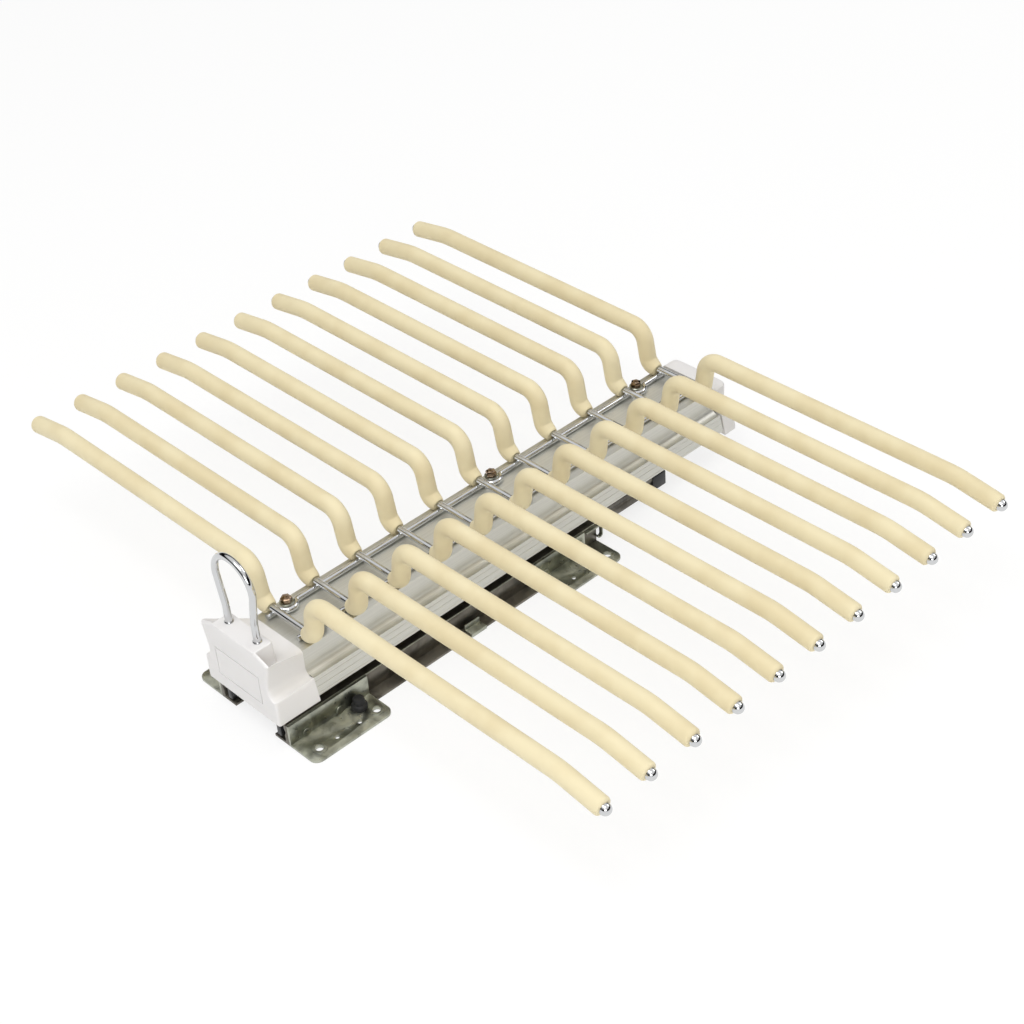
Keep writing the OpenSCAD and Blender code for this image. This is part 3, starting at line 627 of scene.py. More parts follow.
@dataclass(frozen=True)
class Section:
    """A bar's round section and the gentle waves of its surface, in millimetres; seed picks the waves."""

    radius: float
    sides: int
    unevenness: float = 0.0
    wave: float = 30.0
    seed: float = 0.0


class BarTree(PieceTree):
    """Gives a line of points a round section, with a share of the radius at each point."""

    def __init__(self, paint: Paint) -> None:
        """Builds the tree once for every bar, wire and sleeve.

        Args:
            paint: the finishes by slot.
        """
        floats = [(label, "Float") for label in ("Radius", "Unevenness", "Wave length", "Seed")]
        super().__init__("round_bar", [*floats, ("Sides", "Int")], paint)
        tree, entry = self.tree, self.entry
        line = add_node(tree, "GeometryNodeMeshToCurve", {"Mesh": entry["Geometry"]})
        share = add_node(tree, "GeometryNodeInputNamedAttribute", {"Name": "share"}, data_type="FLOAT")
        circle = {"Resolution": entry["Sides"], "Radius": entry["Radius"]}
        ring = add_node(tree, "GeometryNodeCurvePrimitiveCircle", circle)
        sweep = {
            "Curve": line.outputs["Curve"],
            "Profile Curve": ring.outputs["Curve"],
            "Scale": share.outputs["Attribute"],
            "Fill Caps": True,
        }
        tube = add_node(tree, "GeometryNodeCurveToMesh", sweep)
        density = add_node(tree, "ShaderNodeMath", {0: 1.0, 1: entry["Wave length"]}, operation="DIVIDE")
        waves = {"W": entry["Seed"], "Scale": density.outputs["Value"], "Detail": 2.0}
        noise = add_node(tree, "ShaderNodeTexNoise", waves, noise_dimensions="4D")
        centred = add_node(tree, "ShaderNodeMath", {0: noise.outputs["Fac"], 1: 0.5}, operation="SUBTRACT")
        swing = {0: centred.outputs["Value"], 1: entry["Unevenness"]}
        height = add_node(tree, "ShaderNodeMath", swing, operation="MULTIPLY")
        outwards = add_node(tree, "GeometryNodeInputNormal").outputs["Normal"]
        push = {0: outwards, "Scale": height.outputs["Value"]}
        offset = add_node(tree, "ShaderNodeVectorMath", push, operation="SCALE")
        moved = {"Geometry": tube.outputs["Mesh"], "Offset": offset.outputs["Vector"]}
        uneven = add_node(tree, "GeometryNodeSetPosition", moved)
        smooth = add_node(tree, "GeometryNodeSetShadeSmooth", {"Geometry": uneven.outputs["Geometry"]})
        self.end(smooth.outputs["Geometry"])

    def bar(
        self, piece: Piece, points: Sequence[Point], section: Section, shares: Sequence[float] = ()
    ) -> None:
        """Makes one round bar along a line.

        Args:
            piece: what it is.
            points: the line, in millimetres.
            section: its section.
            shares: the share of the radius at each point, or nothing for an even bar.
        """
        chain = [(i, i + 1) for i in range(len(points) - 1)]
        radii = np.array(shares or [1.0] * len(points), np.float32)
        settings = {
            "Radius": section.radius * MM,
            "Sides": section.sides,
            "Unevenness": section.unevenness * MM,
            "Wave length": section.wave * MM,
            "Seed": section.seed,
        }
        self.make(piece, points, chain, "share", radii, settings)


class ScatterTree(PieceTree):
    """Sets one part at each point, turned by the point's own angles."""

    def __init__(self, paint: Paint) -> None:
        """Builds the tree once for all repeated parts.

        Args:
            paint: the finishes by slot.
        """
        super().__init__("repeated_part", [("Part", "Object")], paint)
        tree = self.tree
        part = add_node(tree, "GeometryNodeObjectInfo", {"Object": self.entry["Part"]})
        turn = add_node(tree, "GeometryNodeInputNamedAttribute", {"Name": "turn"}, data_type="FLOAT_VECTOR")
        angles = add_node(tree, "FunctionNodeEulerToRotation", {"Euler": turn.outputs["Attribute"]})
        spots = add_node(tree, "GeometryNodeMeshToPoints", {"Mesh": self.entry["Geometry"]})
        copies = {
            "Points": spots.outputs["Points"],
            "Instance": part.outputs["Geometry"],
            "Rotation": angles.outputs["Rotation"],
        }
        self.end(add_node(tree, "GeometryNodeInstanceOnPoints", copies).outputs["Instances"])

    def scatter(
        self, piece: Piece, part: bpy.types.Mesh, places: Sequence[Point], turns: Sequence[Point] = ()
    ) -> None:
        """Sets copies of a part out as one piece.

        Args:
            piece: what it is.
            part: the part's mesh, in metres about its own origin.
            places: where each copy goes, in millimetres.
            turns: each copy's turn about X, Y and Z in degrees, or nothing to leave them upright.
        """
        carrier = mesh_object(piece.name + "_part", part, self.paint[piece.slot])
        angles = np.radians(np.array(turns or [(0, 0, 0)] * len(places), np.float32))
        self.make(piece, places, [], "turn", angles, {"Part": carrier})
        bpy.data.objects.remove(carrier)


class Workshop:
    """What the sub-assemblies share: the finishes, and the trees for bars and for repeated parts."""

    def __init__(self) -> None:
        """Makes the finishes and both trees."""
        self.paint = Finishes().build()
        self.bars = BarTree(self.paint)
        self.parts = ScatterTree(self.paint)


def turned(profile: Sequence[Flat], sides: int, sharp_from: float = TURNED_EDGE) -> bpy.types.Mesh:
    """Turns a profile of radius and height about Z into a closed mesh.

    Args:
        profile: radius and height, in millimetres, from the bottom to the top; at no radius it closes.
        sides: number of faces round it; six makes a hexagon.
        sharp_from: angle over which its edges stay sharp, in degrees.

    Returns:
        The mesh, in metres.
    """
    form = bmesh.new()
    rings = []
    for radius, height in profile:
        angles = [i * math.tau / sides for i in range(sides)] if radius > 0 else [0.0]
        rings.append(vertices(form, [(radius * math.cos(a), radius * math.sin(a), height) for a in angles]))
    for low, high in zip(rings, rings[1:]):
        for i in range(sides):
            k = i + 1
            around = low[i % len(low)], low[k % len(low)], high[k % len(high)], high[i % len(high)]
            unique = list(dict.fromkeys(around))
            if len(unique) > 2:
                form.faces.new(unique)
    return smooth_by_angle(baked(form, "turned"), sharp_from)


def rounded(corners: Sequence[Point], steps: int = 4) -> list[Flat]:
    """Rounds the corners of a closed outline.

    Args:
        corners: two coordinates and a radius for each corner.
        steps: number of points over each rounded corner, less one.

    Returns:
        The outline's points.
    """
    outline: list[Flat] = []
    # A rounding takes at most this share of a side, so that two on it never meet.
    longest_reach = 0.45
    for i, (x, z, radius) in enumerate(corners):
        if radius <= 0:
            outline.append((x, z))
            continue
        here = np.array((x, z))
        before = np.array(corners[i - 1][:2]) - here
        after = np.array(corners[(i + 1) % len(corners)][:2]) - here
        length_a, length_b = np.linalg.norm(before), np.linalg.norm(after)
        before, after = before / length_a, after / length_b
        half = math.acos(max(-1.0, min(1.0, float(before @ after)))) / 2
        reach = min(radius / math.tan(half), longest_reach * length_a, longest_reach * length_b)
        a, b = here + before * reach, here + after * reach
        for k in range(steps + 1):
            t = k / steps
            spot = (1 - t) ** 2 * a + 2 * t * (1 - t) * here + t * t * b
            outline.append((float(spot[0]), float(spot[1])))
    return outline


def prism(loops: Sequence[Sequence[Flat]], y0: float, y1: float) -> bpy.types.Mesh:
    """Stands a section of one outline and its holes along Y.

    Args:
        loops: closed outlines in X and Z, in millimetres.
        y0: where it starts.
        y1: where it ends.

    Returns:
        The mesh, in metres.
    """
    form = bmesh.new()
    rims: list[list[bmesh.types.BMEdge]] = [[], []]
    for loop in loops:
        rings = [vertices(form, [(x, y, z) for x, z in loop]) for y in (y0, y1)]
        for rim, ring in zip(rims, rings):
            rim += [form.edges.new((ring[i - 1], ring[i])) for i in range(len(ring))]
        band(form, rings[0], rings[1])
    for rim in rims:
        bmesh.ops.triangle_fill(form, edges=rim, use_beauty=True)
    return smooth_by_angle(baked(form, "prism"), DRAWN_EDGE)


def skin(rings: Sequence[Sequence[Flat]], ys: Sequence[float]) -> bpy.types.Mesh:
    """Closes a skin through symmetric rings.

    Args:
        rings: outlines in X and Z, in millimetres, all with the same count of points.
        ys: each ring's Y.

    Returns:
        The mesh, in metres.
    """
    form = bmesh.new()
    loops = [vertices(form, [(x, y, z) for x, z in ring]) for ring, y in zip(rings, ys)]
    for near, far in zip(loops, loops[1:]):
        band(form, near, far)
    count = len(rings[0])
    for loop in (loops[0], loops[-1]):
        for i in range(count // 2 - 1):
            form.faces.new((loop[i], loop[i + 1], loop[count - 2 - i], loop[count - 1 - i]))
    return baked(form, "skin")


def rounded_block(
    low: Point, high: Point, upright_radius: float, top_radius: float, draft: float
) -> bpy.types.Mesh:
    """Makes a block with rounded upright and top edges.

    Args:
        low: its lowest corner, in millimetres.
        high: its highest corner.
        upright_radius: radius of its upright edges.
        top_radius: radius of its top edge.
        draft: how far its sides and back widen at the foot.

    Returns:
        The mesh, in metres.
    """
    form = bmesh.new()
    arc_step, least_radius = 15, 0.05
    levels = [(low[2], -draft)]
    for angle in range(0, 91, arc_step):
        a = math.radians(angle)
        levels.append((high[2] - top_radius * (1 - math.sin(a)), top_radius * (1 - math.cos(a))))
    rings = []
    for z, inset in levels:
        ring = []
        radius = max(upright_radius - max(inset, 0.0), least_radius)
        for quarter in range(4):
            x = high[0] - inset - radius if quarter in (0, 3) else low[0] + inset + radius
            y = high[1] - inset - radius if quarter in (0, 1) else low[1] + max(inset, 0.0) + radius
            for k in range(90 // arc_step + 1):
                angle = math.radians(90 * quarter + arc_step * k)
                ring.append((x + radius * math.cos(angle), y + radius * math.sin(angle), z))
        rings.append(vertices(form, ring))
    for near, far in zip(rings, rings[1:]):
        band(form, near, far)
    form.faces.new(rings[0])
    form.faces.new(rings[-1])
    return baked(form, "block")


def combine(piece: bpy.types.Object, other: bpy.types.Object, operation: str) -> None:
    """Joins another shape to a piece, or cuts it from it, and removes the other shape.

    Args:
        piece: the piece that stays.
        other: the shape to join or cut.
        operation: UNION or DIFFERENCE.
    """
    modifier = piece.modifiers.new("combine", "BOOLEAN")
    modifier.object = other
    modifier.operation = operation
    modifier.solver = "EXACT"
    settle(piece)
    bpy.data.objects.remove(other)


def machined_copy(source: bpy.types.Object, piece: Piece, paint: Paint, edge: float) -> None:
    """Copies a node's shape, merges its triangles, softens its edges and fixes it to its body.

    Args:
        source: the node's object.
        piece: what the copy is.
        paint: the finishes by slot.
        edge: width of the softened edges, in millimetres.
    """
    form = bmesh.new()
    form.from_mesh(source.data)
    same_spot, flat_degrees, bend_degrees = 0.002, 0.5, 40
    bmesh.ops.remove_doubles(form, verts=form.verts, dist=same_spot * MM)
    flat = math.radians(flat_degrees)
    bmesh.ops.dissolve_limit(form, angle_limit=flat, verts=form.verts, edges=form.edges)
    made = mesh_object(piece.name, baked(form, piece.name, turn_outwards=False), paint[piece.slot])
    bevel = made.modifiers.new("edges", "BEVEL")
    bevel.width = edge * MM
    bevel.segments = 2
    bevel.limit_method = "ANGLE"
    bevel.angle_limit = math.radians(bend_degrees)
    smooth_by_angle(settle(made).data, PRESSED_EDGE)
    piece.fix(made)


# Sub-assemblies


@dataclass
class Layout:
    """Sizes that the sub-assemblies share."""

    row_count: int = 11
    row_pitch: float = 30.0
    beam_top: float = 46.0
    block_top: float = 60.6
    rod_radius: float = 2.0
    wire_radius: float = 1.7
    wire_lift: float = 0.06
    wire_x: float = 13.0
    clamp_offset: float = 9.5
    clamp_rows: tuple[int, ...] = (1, 6, 10)
    bow_radius: float = 5.0
    bow_blend: float = 2.5
    bow_turn: float = 65.0

    @property
    def rod_z(self) -> float:
        """Height of the cross rods' middle line."""
        return self.wire_z + self.wire_radius + self.rod_radius

    @property
    def wire_z(self) -> float:
        """Height of the side wires' middle line."""
        return self.beam_top + self.wire_radius + self.wire_lift

    @property
    def clamp_x(self) -> float:
        """Distance of a clamp screw from the centre line."""
        reach = (self.bow_radius + self.bow_blend) * math.cos(math.radians(self.bow_turn))
        return self.wire_x - self.bow_blend + reach

    def row_y(self, row: int) -> float:
        """Place of a row along Y."""
        return (row - (self.row_count + 1) / 2) * self.row_pitch

    def clamp_y(self, row: int) -> float:
        """Place of the clamp screw behind a row."""
        return self.row_y(row) + self.clamp_offset

    def rows(self) -> range:
        """The rows' numbers."""
        return range(1, self.row_count + 1)


@dataclass
class Arms:
    """The bent rods, their soft sleeves and their chrome tips."""

    layout: Layout
    shop: Workshop
    sleeve_radius: float = 5.25
    wire_room: float = 0.1
    reach: float = 232.0
    rise: float = 24.0
    lean: float = 9.5
    foot_run: float = 1.6
    foot_bend: float = 6.4
    top_bend: float = 10.0
    tip_run: float = 24.0
    tip_drop: float = 9.5
    tip_bend: float = 60.0
    tip_bend_step: float = 1.6
    nose: float = 1.8
    inner_taper: float = 7.0
    inner_inset: float = 2.0
    inner_sag: float = 1.1
    end_steps: int = 9
    unevenness: float = 0.22
    seed_step: float = 3.7
    rod_past_sleeve: float = 1.1
    tip_radius: float = 3.4
    tip_neck: float = 0.8
    tip_rim: float = 0.15
    tip_step: float = 0.12
    tip_step_rise: float = 0.05

    @property
    def sleeve_start(self) -> float:
        """Distance of a sleeve's inner end from the centre line, just past the side wire."""
        return self.layout.wire_x + self.layout.wire_radius + self.wire_room

    def path(self, start: float, past_tip: float) -> list[Flat]:
        """Middle line of one arm in X and Z.

        Args:
            start: where it starts, in X.
            past_tip: length past the sleeve's end.

        Returns:
            Its points.
        """
        foot_x = self.sleeve_start + self.foot_run
        turn = 90 - self.lean
        angle = math.radians(turn)
        riser = (self.rise - (self.foot_bend + self.top_bend) * (1 - math.cos(angle))) / math.sin(angle)
        drop = math.radians(self.tip_drop)
        bar = BentBar((start, self.layout.rod_z))
        bar.run(foot_x - start).turn(self.foot_bend, turn).run(riser).turn(self.top_bend, -turn)
        tip_bend_x = self.reach - self.tip_run * math.cos(drop) - self.tip_bend * math.sin(drop)
        bar.run(tip_bend_x - bar.points[-1][0])
        bar.bend_step = self.tip_bend_step
        bar.turn(self.tip_bend, -self.tip_drop).run(self.tip_run + past_tip)
        return bar.points

    def sleeve_line(self) -> tuple[list[Flat], list[float]]:
        """Middle line of a sleeve, drawn in at its inner end and rounded at its nose.

        Returns:
            Its points and a share of the radius for each.
        """
        line = np.array(self.path(self.sleeve_start, 0.0))
        along = np.concatenate(([0.0], np.cumsum(np.linalg.norm(np.diff(line, axis=0), axis=1))))
        length = float(along[-1])
        inner, outer = [], []
        for k in range(self.end_steps + 1):
            angle = math.radians(90) * k / self.end_steps
            out, back = 1 - math.sin(angle), 1 - math.cos(angle)
            inner.insert(0, (self.inner_taper * out, 1 - self.inner_inset * back / self.sleeve_radius))
            outer.append((length - self.nose * out, 1 - self.nose * back / self.sleeve_radius))
        # The straight part leaves a little room to both rounded ends.
        room = 1.05
        body = [(s, 1.0) for s in along if self.inner_taper * room < s < length - self.nose * room]
        spots = inner + body + outer
        points = []
        for s, _ in spots:
            sag = self.inner_sag * max(0.0, 1 - s / self.inner_taper) ** 2
            x, z = (float(np.interp(s, along, line[:, axis])) for axis in (0, 1))
            points.append((x, z - sag))
        # A small ring a hair past each end draws the end face in flat before the tube is capped.
        hub, hair = 0.12, 0.001
        start = np.array(points[0]) - (line[1] - line[0]) * hair
        end = line[-1] + (line[-1] - line[-2]) * hair
        points = [(float(start[0]), float(start[1])), *points, (float(end[0]), float(end[1]))]
        return points, [hub, *(share for _, share in spots), hub]

    def build(self) -> None:
        """Makes a rod and two sleeves for each row, and all the tips."""
        layout = self.layout
        sleeve_line, sleeve_shares = self.sleeve_line()
        arm = self.path(0.0, self.rod_past_sleeve)
        rod_line = mirrored(arm)[:-1] + arm
        rod = Section(layout.rod_radius, sides=24)
        for row in layout.rows():
            y = layout.row_y(row)
            points = [(x, y, z) for x, z in rod_line]
            piece = Piece(f"bent_rod_{row:02d}", "chromed_steel", (f"arm_rod_{row:02d}",))
            self.shop.bars.bar(piece, points, rod)
            for side in Side:
                place = f"{side.word}_{row:02d}"
                piece = Piece(f"soft_sleeve_{place}", "cream_sleeve", (f"sleeve_{place}",))
                points = [(side.value * x, y, z) for x, z in sleeve_line]
                seed = row * self.seed_step + side.value
                sleeve = Section(self.sleeve_radius, sides=36, unevenness=self.unevenness, seed=seed)
                self.shop.bars.bar(piece, points, sleeve, sleeve_shares)
        self.build_tips()

    def build_tips(self) -> None:
        """Makes the chrome domes on the arms' ends."""
        layout = self.layout
        rim, neck, dome = self.tip_radius, self.tip_neck, self.tip_radius - self.tip_step
        profile = [(0, 0.0), (rim - self.tip_rim, 0.0), (rim, self.tip_rim)]
        profile += [(rim, neck - self.tip_step_rise), (dome, neck)]
        angles = [math.radians(a) for a in range(10, 90, 10)]
        profile += [(dome * math.cos(a), neck + dome * math.sin(a)) for a in angles]
        profile.append((0, neck + dome))
        tip_x, tip_z = self.path(self.sleeve_start, 0.0)[-1]
        places = [(side.value * tip_x, layout.row_y(row), tip_z) for row in layout.rows() for side in Side]
        turns = [(0, side.value * (90 + self.tip_drop), 0) for _ in layout.rows() for side in Side]
        tips = Piece("chrome_tips", "chromed_steel", ("tip_caps",))
        self.shop.parts.scatter(tips, turned(profile, sides=28), places, turns)


@dataclass
class Ladder:
    """The side wires on the beam's top, with the screws and washers that clamp them."""

    layout: Layout
    shop: Workshop
    tail: float = 4.5
    washer_radius: float = 4.0
    washer_depth: float = 0.8
    washer_gap: float = 0.03
    washer_edges: Flat = (0.1, 0.15)
    head_width: float = 5.6
    head_height: float = 3.4
    head_edge: float = 0.15
    shank_radius: float = 1.8
    shank_length: float = 9.6
    turn_step: float = 17.0
    facet_angle: float = 24.0
    # Shares of the corner radius and of the height, over the chamfer to the dished top.
    head_top: tuple[Flat, ...] = ((1.0, 0.66), (0.86, 0.86), (0.55, 1.0), (0.30, 0.93), (0.0, 0.90))

    def wire_line(self) -> list[Flat]:
        """Middle line of the right side wire, bowed round the clamp screws.

        Returns:
            Its points in Y and X.
        """
        layout = self.layout
        half_bow = (layout.bow_radius + layout.bow_blend) * math.sin(math.radians(layout.bow_turn))
        wire = BentBar((layout.row_y(1) - self.tail, -layout.wire_x), step=6.0, bend_step=8.0)
        for row in layout.clamp_rows:
            wire.run(layout.clamp_y(row) - half_bow - wire.points[-1][0])
            wire.turn(layout.bow_blend, layout.bow_turn)
            wire.turn(layout.bow_radius, -2 * layout.bow_turn)
            wire.turn(layout.bow_blend, layout.bow_turn)
        wire.run(layout.row_y(layout.row_count) + self.tail - wire.points[-1][0])
        return wire.points

    def build(self) -> None:
        """Makes both wires, the washers and the screws."""
        layout = self.layout
        line = self.wire_line()
        wire = Section(layout.wire_radius, sides=20)
        for side in Side:
            piece = Piece(f"ladder_wire_{side.word}", "chromed_steel", (f"side_wire_{side.word}",))
            self.shop.bars.bar(piece, [(-side.value * x, y, layout.wire_z) for y, x in line], wire)
        gap = layout.bow_radius - self.washer_radius
        rests_at = math.sqrt((layout.wire_radius + layout.wire_lift) ** 2 - gap**2)
        washer_z = layout.wire_z + rests_at + self.washer_gap
        clamps = [(side.value * layout.clamp_x, row) for row in layout.clamp_rows for side in Side]
        spots = [(x, layout.clamp_y(row), washer_z) for x, row in clamps]
        r, depth, (lower, upper) = self.washer_radius, self.washer_depth, self.washer_edges
        profile = [(0, 0.0), (r - lower, 0.0), (r, lower), (r, depth - upper), (r - upper, depth), (0, depth)]
        washers = Piece("clamp_plates", "zinc_steel", ("clamp_washers",))
        self.shop.parts.scatter(washers, turned(profile, sides=36), spots)
        self.build_screws([(x, y, z + depth) for x, y, z in spots])

    def build_screws(self, spots: Sequence[Point]) -> None:
        """Makes the six-sided screws with a chamfered, dished top.

        Args:
            spots: where each head sits.
        """
        corner = self.head_width / 2 / math.cos(math.radians(30))
        shank, edge = self.shank_radius, self.head_edge
        profile = [(0, -self.shank_length), (shank, -self.shank_length), (shank, 0.0)]
        profile += [(corner - edge, 0.0), (corner, edge)]
        profile += [(corner * out, self.head_height * up) for out, up in self.head_top]
        turns = [(0, 0, self.turn_step * i) for i in range(len(spots))]
        bolts = Piece("clamp_bolts", "bronzed_steel", ("clamp_screws",))
        self.shop.parts.scatter(bolts, turned(profile, sides=6, sharp_from=self.facet_angle), spots, turns)


@dataclass
class Beam:
    """The drawn aluminium beam with a hollow along each side and fine lines in its lower band."""

    shop: Workshop
    y0: float = -158.0
    y1: float = 159.5
    foot_z: float = 20.0
    height: float = 26.0
    half_width: float = 29.5
    half_top: float = 20.5
    wall: float = 1.8
    hollow_radius: float = 4.2
    hollow_share: float = 0.56
    hollow_bite: float = 0.1
    hollow_step: int = 6
    ridge_angle: float = 57.0
    # How far the section's corners are rounded at the foot, the lines, the ridge and the top.
    foot_edge: float = 0.4
    line_edge: float = 0.05
    ridge_edge: float = 0.35
    top_edge: float = 0.45
    # Degrees of the hollow that the ridge's rounding takes.
    ridge_room: int = 9
    # Height and depth of each line in the lower band, and half its width at the mouth and at the floor.
    lines: tuple[Flat, ...] = ((21.6, 0.2), (25.2, 0.22), (28.6, 0.2))
    line_mouth: float = 0.22
    line_floor: float = 0.12
    middle_chamber: float = 7.5
    # The right side chamber: its inner wall, its outer foot and the corners between that and its top.
    side_inner: float = 9.3
    side_foot: float = 27.3
    side_chamber: tuple[Flat, ...] = ((24.6, 28.6), (20.4, 28.6), (18.7, 32.9))

    @property
    def top(self) -> float:
        """Height of the beam's top."""
        return self.foot_z + self.height

    @property
    def hollow(self) -> Flat:
        """Centre of the right hollow."""
        x = self.half_top + self.hollow_radius - self.hollow_bite
        return x, self.foot_z + self.hollow_share * self.height

    def half_outline(self) -> list[Flat]:
        """Right half of the section.

        Returns:
            Its points, from the middle of the foot round to the middle of the top.
        """
        (x, z), r = self.hollow, self.hollow_radius
        ridge = math.radians(self.ridge_angle)
        ridge_x, ridge_z = x + r * math.cos(ridge), z - r * math.sin(ridge)

        def flank(height: float) -> float:
            """Half width of the lower band at a height."""
            drawn_in = (ridge_x - self.half_width) * (height - self.foot_z) / (ridge_z - self.foot_z)
            return self.half_width + drawn_in

        corners: list[Point] = [(self.half_width, self.foot_z, self.foot_edge)]
        mouth, floor = self.line_mouth, self.line_floor
        for line_z, deep in self.lines:
            corners += [
                (flank(line_z - mouth), line_z - mouth, self.line_edge),
                (flank(line_z) - deep, line_z - floor, 0.0),
                (flank(line_z) - deep, line_z + floor, 0.0),
                (flank(line_z + mouth), line_z + mouth, self.line_edge),
            ]
        corners.append((ridge_x, ridge_z, self.ridge_edge))
        past_ridge = int(self.ridge_angle) + self.ridge_room
        for angle in range(past_ridge, 181, self.hollow_step):
            a = math.radians(angle)
            corners.append((x + r * math.cos(a), z - r * math.sin(a), 0.0))
        corners.append((self.half_top, self.top, self.top_edge))
        loop = rounded([(0.0, self.foot_z, 0.0)] + corners + [(0.0, self.top, 0.0)])
        return loop[1:-1]

    def build(self) -> None:
        """Makes the beam as one chambered profile."""
        half = self.half_outline()
        low, high, reach = self.foot_z + self.wall, self.top - self.wall, self.middle_chamber
        middle = [(-reach, low), (reach, low), (reach, high), (-reach, high)]
        inner, foot, neck = self.side_inner, self.side_foot, self.side_chamber[-1][0]
        side = [(inner, low), (foot, low), *self.side_chamber, (neck, high), (inner, high)]
        mesh = prism([half + mirrored(half), middle, side, mirrored(side)], self.y0, self.y1)
        piece = Piece("beam_profile", "satin_aluminium", ("beam",))
        piece.fix(mesh_object(piece.name, mesh, self.shop.paint[piece.slot]))


@dataclass
class CapShape:
    """Outlines that the two end caps share: one that meets the beam and one round the front face."""

    beam: Beam
    foot_z: float = 17.0
    lip: float = 0.3
    # Shares of the beam's half top, each with its rise over the beam in lips.
    crown: tuple[Flat, ...] = ((0.62, 2.0), (0.92, 1.0))
    # Share of the beam's height that the shoulder drops, and of the hollow's radius where the neck stands.
    shoulder: float = 0.04
    neck: float = 0.6
    arc_points: int = 6
    arc_step: float = 24.6
    foot_edge: float = 1.5
    face_half: float = 30.2
    face_height: float = 41.5
    smooth_steps: int = 5
    # Places in a half outline's list of points where it keeps a sharp corner.
    corners: tuple[int, ...] = (2, 10)
    # Shares of the face's half width and height: the plate's own top, the valley behind it, and the sides.
    plate_top: tuple[Flat, ...] = ((0.60, 1.04), (0.80, 0.995))
    valley: tuple[Flat, ...] = ((0.61, 0.713), (0.80, 0.80))
    face_sides: tuple[Flat, ...] = (
        (0.935, 0.955),
        (0.86, 0.72),
        (0.825, 0.56),
        (0.835, 0.49),
        (0.875, 0.43),
        (0.93, 0.40),
        (0.975, 0.385),
        (0.985, 0.375),
        (0.99, 0.36),
        (1.0, 0.05),
        (0.99, 0.0),
    )

    def beam_half(self) -> list[Flat]:
        """Right half of the outline where a cap meets the beam.

        Returns:
            Its control points, from the top to the foot.
        """
        beam, lip, top = self.beam, self.lip, self.beam.top
        x, z = beam.hollow
        ridge = math.radians(beam.ridge_angle)
        inner = beam.hollow_radius - lip
        angles = [math.radians(180 + self.arc_step * k) for k in range(self.arc_points)]
        return [
            *((beam.half_top * share, top + rise * lip) for share, rise in self.crown),
            (beam.half_top + lip, top - self.shoulder * beam.height),
            (x - beam.hollow_radius + lip, z + self.neck * beam.hollow_radius),
            *((x + inner * math.cos(a), z + inner * math.sin(a)) for a in angles),
            (x + beam.hollow_radius * math.cos(ridge) + lip, z - beam.hollow_radius * math.sin(ridge)),
            (beam.half_width + lip, self.foot_z + self.foot_edge),
            (beam.half_width + lip / 2, self.foot_z),
        ]

    def face_half_outline(self, top: Sequence[Flat]) -> list[Flat]:
        """Right half of the front face's outline, under its own top edge."""
        shares = (*top, *self.face_sides)
        return [(self.face_half * u, self.foot_z + self.face_height * v) for u, v in shares]

    def smoothed(self, half: Sequence[Flat]) -> list[Flat]:
        """Fills a half outline with a smooth curve between its sharp corners.

        Args:
            half: its control points.

        Returns:
            The finer half outline.
        """
        points = [np.array(p) for p in half]
        fine: list[Flat] = []
        last = len(points) - 1
        for i in range(last):
            p1, p2 = points[i], points[i + 1]
            p0 = points[i - 1] if i > 0 and i not in self.corners else 2 * p1 - p2
            p3 = points[i + 2] if i + 1 < last and i + 1 not in self.corners else 2 * p2 - p1
            bend, twist = 2 * p0 - 5 * p1 + 4 * p2 - p3, 3 * p1 - p0 - 3 * p2 + p3
            for k in range(self.smooth_steps):
                t = k / self.smooth_steps
                spot = 0.5 * (2 * p1 + (p2 - p0) * t + bend * t**2 + twist * t**3)
                fine.append((float(spot[0]), float(spot[1])))
        fine.append(half[-1])
        return fine


